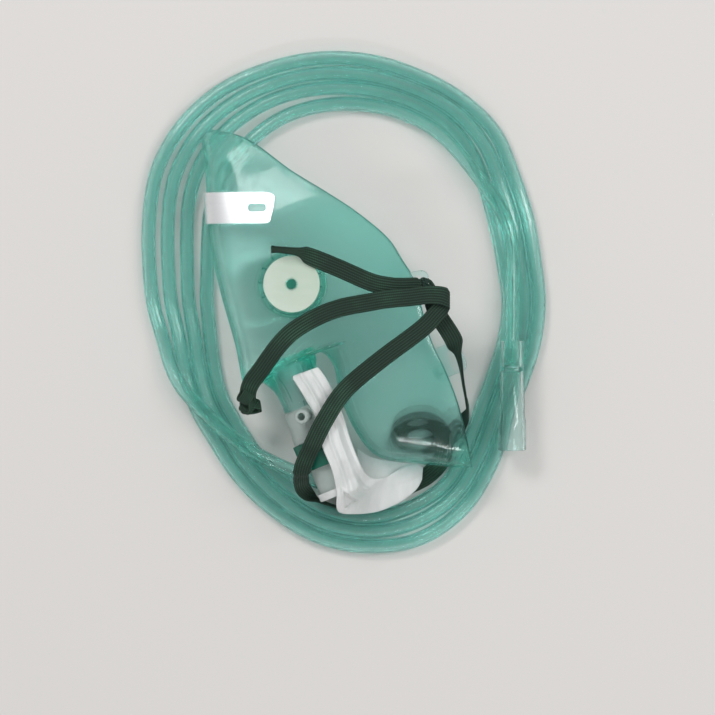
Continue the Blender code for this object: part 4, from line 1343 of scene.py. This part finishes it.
@dataclass
class HeadStrap:
    """Flat ribbed elastic through the tabs, round under the mask and back over it, with its knot."""

    width: float = 7.5
    thick: float = 1.1
    steps: int = 9
    sides: int = 28
    rib_depth: float = 0.2
    ribs: int = 7
    clearance: float = 0.3
    margin: float = 1.8
    edge_share: float = 0.35  # thickness at the edges, as a share of that in the middle
    edge_power: int = 10
    fold: tuple[float, float, float] = (43.8, 2.3, 37.9)  # x where it starts, its length, height it is above
    gathers: tuple[float, float] = (0.2, 0.34)  # narrowing of upright runs and of the fold
    knot_width: float = 0.72
    knot_arc: tuple[float, float, int] = (-20.0, 330.0, 60)  # from, to and points of each turn
    knot_pitch: float = 0.9
    route: Rows = (  # middle, heading and tilt of the line across it, and 1 where it rests on what is below
        (-27.3, 32.3, 39.0, 90, 74, 1), (-22.3, 31.9, 38.6, 88, 74, 1), (-16.0, 31.1, 38.0, 80, 64, 1),
        (-12.4, 29.7, 37.7, 73, 26, 1),
        (-8.4, 28.1, 37.4, 68, 4, 1), (0.8, 24.4, 37.0, 65, 0, 1), (13.4, 18.9, 37.3, 68, 0, 1),
        (21.0, 17.2, 37.6, 78, 0, 1), (26.0, 16.8, 37.9, 88, 0, 1), (29.8, 16.9, 38.0, 96, 0, 0),
        (32.5, 17.0, 38.1, 100, 0, 0), (33.8, 17.0, 37.4, 100, 0, 0), (34.1, 17.0, 36.0, 100, 0, 0),
        (34.3, 17.0, 34.4, 98, 0, 0), (35.4, 16.6, 33.2, 92, 0, 0), (37.2, 15.0, 32.9, 76, 0, 0),
        (39.2, 11.0, 33.2, 52, 0, 0), (41.6, 5.2, 33.6, 40, 0, 0), (45.6, -1.0, 33.2, 37, 4, 0),
        (48.2, -5.6, 32.6, 34, 10, 0), (49.6, -10.0, 31.6, 24, 66, 0), (50.9, -15.6, 30.2, 4, 82, 0),
        (52.0, -22.7, 28.0, -60, 86, 0), (53.2, -29.2, 24.4, -84, 70, 0), (54.0, -33.2, 18.6, -88, 42, 0),
        (54.2, -36.2, 11.0, -88, 24, 0), (52.2, -39.2, 4.4, -66, 20, 0), (50.2, -42.2, 1.3, -58, 6, 0),
        (46.6, -45.4, 0.6, -60, 0, 0), (42.8, -47.6, 0.55, -70, 0, 0), (35.6, -49.6, 0.55, -84, 0, 0),
        (28.4, -48.8, 0.7, -118, 0, 0), (25.6, -44.8, 1.1, -176, 0, 0), (28.2, -40.6, 1.7, -230, 0, 0),
        (34.6, -38.6, 2.4, -262, 0, 0), (40.6, -40.0, 3.0, -296, 0, 0), (44.4, -45.0, 3.2, -334, 0, 0),
        (44.8, -50.6, 3.0, -365, 0, 0), (43.2, -55.6, 1.8, -385, 0, 0), (38.8, -60.8, 1.0, -412, 6, 0),
        (31.0, -66.4, 2.6, -426, 48, 0), (20.6, -72.8, 4.2, -436, 84, 0), (9.0, -75.7, 4.2, -446, 88, 0),
        (0.6, -75.1, 4.2, -458, 88, 0), (-5.0, -73.4, 4.4, -468, 87, 0), (-9.2, -71.7, 6.8, -478, 80, 0),
        (-12.6, -69.4, 12.6, -500, 50, 0), (-14.7, -66.4, 18.2, -524, 12, 0), (-15.2, -63.0, 23.6, -534, 0, 0),
        (-14.8, -59.2, 28.6, -540, 0, 1), (-13.2, -54.6, 31.4, -550, 0, 1), (-10.9, -49.6, 33.6, -557, 0, 1),
        (-5.5, -38.6, 34.2, -566, 0, 1), (2.9, -26.0, 34.6, -574, 0, 1), (17.6, -13.4, 36.8, -584, 0, 1),
        (34.4, -0.8, 37.6, -588, 0, 1), (41.0, 6.0, 38.0, -594, 0, 0), (43.8, 8.9, 38.1, -612, 0, 0),
        (45.2, 10.1, 38.5, -626, 0, 0), (45.9, 11.2, 39.4, -630, 0, 0), (45.2, 12.2, 40.3, -636, 0, 0),
        (43.6, 13.0, 40.7, -646, 0, 0), (41.0, 13.4, 40.8, -642, 0, 0), (36.5, 13.4, 40.6, -632, 0, 0),
        (30.2, 12.6, 40.2, -626, 0, 0), (21.8, 11.8, 39.8, -622, 0, 0), (13.4, 10.5, 39.2, -618, 0, 0),
        (-3.4, 6.7, 37.4, -606, 0, 1), (-20.2, -2.9, 35.4, -589, 0, 1), (-31.9, -17.6, 31.8, -570, 0, 1),
        (-36.1, -23.5, 30.0, -560, 0, 1), (-37.4, -28.4, 25.6, -552, 0, 0), (-36.4, -32.4, 21.0, -545, 0, 0),
    )
    knot: Rows = (  # centre, radii across and up, tilt and heading of each turn of the knot
        (-37.6, -28.6, 26.2, 3.0, 1.5, 20.0, 62.0), (-36.2, -33.2, 21.4, 3.9, 1.9, -35.0, 10.0),
        (-36.9, -31.0, 23.4, 3.3, 1.7, 55.0, 110.0), (-36.6, -32.4, 22.4, 3.4, 1.6, 10.0, 60.0),
    )

    def lying(self) -> tuple[np.ndarray, np.ndarray]:
        """The strap as it lies, lifted clear where it rests on what is below.

        Returns:
            Middle points and across lines.
        """
        names = ("mask_shell", "valve_housing", "housing_collar", "mask_connector", "reservoir_bag",
                 "nose_clip", "exhale_valve_near")
        below = Surface([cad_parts[name] for name in names])
        rows = curve_through(self.route, 3)
        heading, tilt = np.radians(rows[:, 3]), np.radians(rows[:, 4])
        across = np.column_stack([np.cos(heading) * np.cos(tilt), np.sin(heading) * np.cos(tilt), np.sin(tilt)])
        middle = rows[:, :3].copy()
        for i in np.flatnonzero(rows[:, 5] > 0.5):
            needed = []
            for share in (-0.5, -0.25, 0.0, 0.25, 0.5):
                x, y, _ = place(middle[i] + across[i] * share * self.width)
                top = below.height_near(x, y, self.margin * MM) / MM
                needed.append(top - across[i][2] * share * self.width)
            clear = max(needed) + self.clearance * (2 + abs(across[i][2])) + self.thick / 2
            middle[i, 2] = max(middle[i, 2], clear)
        return middle, across

    def profile(self) -> tuple[np.ndarray, np.ndarray]:
        """Section of the strap.

        Returns:
            Places across it and off its middle, both as shares of its size.
        """
        top = np.linspace(-1.0, 1.0, self.sides)
        rib = 1.0 - self.rib_depth / self.thick * 2 * (1 - np.abs(np.sin(math.pi * self.ribs * (top + 1) / 2)))
        edge = np.sqrt(np.maximum(0.0, 1.0 - np.abs(top) ** self.edge_power))
        off = rib * (self.edge_share + (1 - self.edge_share) * edge)
        return np.concatenate([top, top[::-1]]), np.concatenate([off, -off[::-1]])

    def ribbon(self, middle: np.ndarray, across: np.ndarray, shrink: float = 1.0) -> bmesh.types.BMesh:
        """Strap along a line, with its own across line at each point.

        Args:
            middle: points on the table.
            across: unit rows.
            shrink: share of the full width.

        Returns:
            The mesh.
        """
        along = unit(np.gradient(middle, axis=0))
        wide, off = self.profile()
        face = np.cross(along, across)
        spread = np.linalg.norm(face, axis=1, keepdims=True)
        face /= np.maximum(spread, 1e-6)
        fold_from, fold_length, fold_above = self.fold
        upright, folded = self.gathers
        turned = np.clip((middle[:, :1] - fold_from) / fold_length, 0.0, 1.0) * (middle[:, 2:] > fold_above)
        gathered = (1.0 - upright * np.abs(along[:, 2:]) ** 3) * (1.0 - folded * turned ** 2)
        reach = across * self.width * shrink * gathered / 2 / np.maximum(spread, 0.6)
        rings = middle[:, None] + reach[:, None] * wide[None, :, None]
        rings = rings + face[:, None] * off[None, :, None] * self.thick / 2
        rings[:, :, 2] -= np.minimum(0.0, rings[:, :, 2].min(axis=1) - 0.05)[:, None]
        marks = {"across": np.broadcast_to(wide / 2 + 0.5, rings.shape[:2]),
                 "along": np.broadcast_to(run_of(middle)[:, None] * MM, rings.shape[:2])}
        return swept(place(rings), True, marks)

    def knot_turn(self, x: float, y: float, z: float, out: float, up: float, tilt: float,
                  heading: float) -> bmesh.types.BMesh:
        """One turn of the knot: a short band round the strap.

        Args:
            x: middle of the turn.
            y: middle of the turn.
            z: middle of the turn.
            out: radius across.
            up: radius upwards.
            tilt: degrees about its own X.
            heading: degrees about Z.

        Returns:
            The mesh.
        """
        turns = np.radians(np.linspace(*self.knot_arc))
        frame_of = Matrix.Rotation(math.radians(heading), 3, "Z") @ Matrix.Rotation(math.radians(tilt), 3, "X")
        along = self.knot_pitch * np.sin(turns / 2)
        ring = np.column_stack([out * np.cos(turns), along, up * np.sin(turns)])
        turned = ring @ np.array(frame_of).T + (x, y, z)
        across = np.broadcast_to(np.array(frame_of @ Vector((0, 1, 0))), turned.shape)
        return self.ribbon(turned, across, self.knot_width)

    def build(self) -> None:
        """Sweeps the strap and ties its knot."""
        middle, across = self.lying()
        middle, across = curve_through(middle, self.steps // 3), unit(curve_through(across, self.steps // 3))
        parts = [self.ribbon(middle, across)] + [self.knot_turn(*row) for row in self.knot]
        strap = finished("head_elastic", joined(parts), Finish.ELASTIC, 50.0)
        LOG.info("head_elastic: %.3f m long", run_of(place(middle))[-1])
        stands_for(strap, "head_strap")


# The studio


@dataclass
class Studio:
    """Pale table, soft light and a camera that looks straight down."""

    middle: tuple[float, float] = (0.0091, -0.0147)
    frame_width: float = 0.300
    height: float = 2.4
    table: Colour = (0.70, 0.675, 0.655)
    table_size: float = 6.0
    sky: tuple[float, float, float, float] = (0.98, 0.99, 1.0, 1.0)
    sky_strength: float = 0.505
    bounces: int = 24
    lamps: tuple[tuple[Any, ...], ...] = (  # name, place, size, watts
        ("key", (-0.55, 0.75, 1.15), (0.55, 0.35), 7.5),
        ("fill", (0.75, 0.25, 1.05), (0.12, 0.9), 4.7),
        ("edge", (0.15, -0.95, 0.85), (0.5, 0.04), 2.0),
    )

    def camera(self) -> None:
        """Camera over the middle of the picture."""
        data = bpy.data.cameras.new("camera")
        data.sensor_width = 36.0
        data.lens = data.sensor_width * self.height / self.frame_width
        data.clip_start, data.clip_end = 0.05, 20.0
        made = linked("camera", data)
        made.location = (*self.middle, self.height)
        bpy.context.scene.camera = made

    def floor(self) -> None:
        """Plain table top."""
        work = bmesh.new()
        bmesh.ops.create_grid(work, x_segments=2, y_segments=2, size=self.table_size)
        graph = Graph("table")
        cloud = graph.noise(3.0, 2.0, 0.5)
        dark = tuple(0.975 * c for c in self.table)
        graph.principled(Base_Color=graph.mixed(cloud, self.table, dark), Roughness=0.8, Specular_IOR_Level=0.2)
        mesh = meshed("table_top", work)
        mesh.materials.append(graph.material)
        linked("table_top", mesh)

    def lamp(self, name: str, spot: Sequence[float], size: Sequence[float], watts: float) -> None:
        """Soft box aimed at the middle of the set.

        Args:
            name: the lamp's name.
            spot: where it hangs.
            size: its two sides.
            watts: its power.
        """
        data = bpy.data.lights.new(name, "AREA")
        data.shape, data.size, data.size_y, data.energy = "RECTANGLE", size[0], size[1], watts
        made = linked(name, data)
        made.location = spot
        made.rotation_euler = (Vector((0, 0, 0)) - Vector(spot)).to_track_quat("-Z", "Y").to_euler()

    def light(self) -> None:
        """Even daylight dome, two soft boxes and a narrow one for the glints."""
        world = bpy.data.worlds.new("dome")
        world.use_nodes = True
        sky = world.node_tree.nodes["Background"]
        sky.inputs["Color"].default_value, sky.inputs["Strength"].default_value = self.sky, self.sky_strength
        bpy.context.scene.world = world
        for each in self.lamps:
            self.lamp(*each)

    def build(self) -> None:
        """Sets the whole studio up."""
        self.camera()
        self.floor()
        self.light()
        scene = bpy.context.scene
        scene.view_settings.view_transform = "Standard"
        scene.cycles.max_bounces = self.bounces
        scene.cycles.transmission_bounces = self.bounces
        scene.cycles.transparent_max_bounces = self.bounces


def main() -> None:
    """Builds the set and its studio."""
    logging.basicConfig(level=logging.INFO, format="%(name)s: %(message)s")
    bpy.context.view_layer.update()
    Studio().build()
    shell, feet = FacePiece().build()
    ExhaleFlaps().build(feet)
    NoseClip().build(shell)
    ValveGroup().build()
    FilmBag().build()
    HeadStrap().build()
    SupplyTube().build([SOURCE_CONNECTOR.build(), MASK_CONNECTOR.build()])


if __name__ == "__main__":
    main()
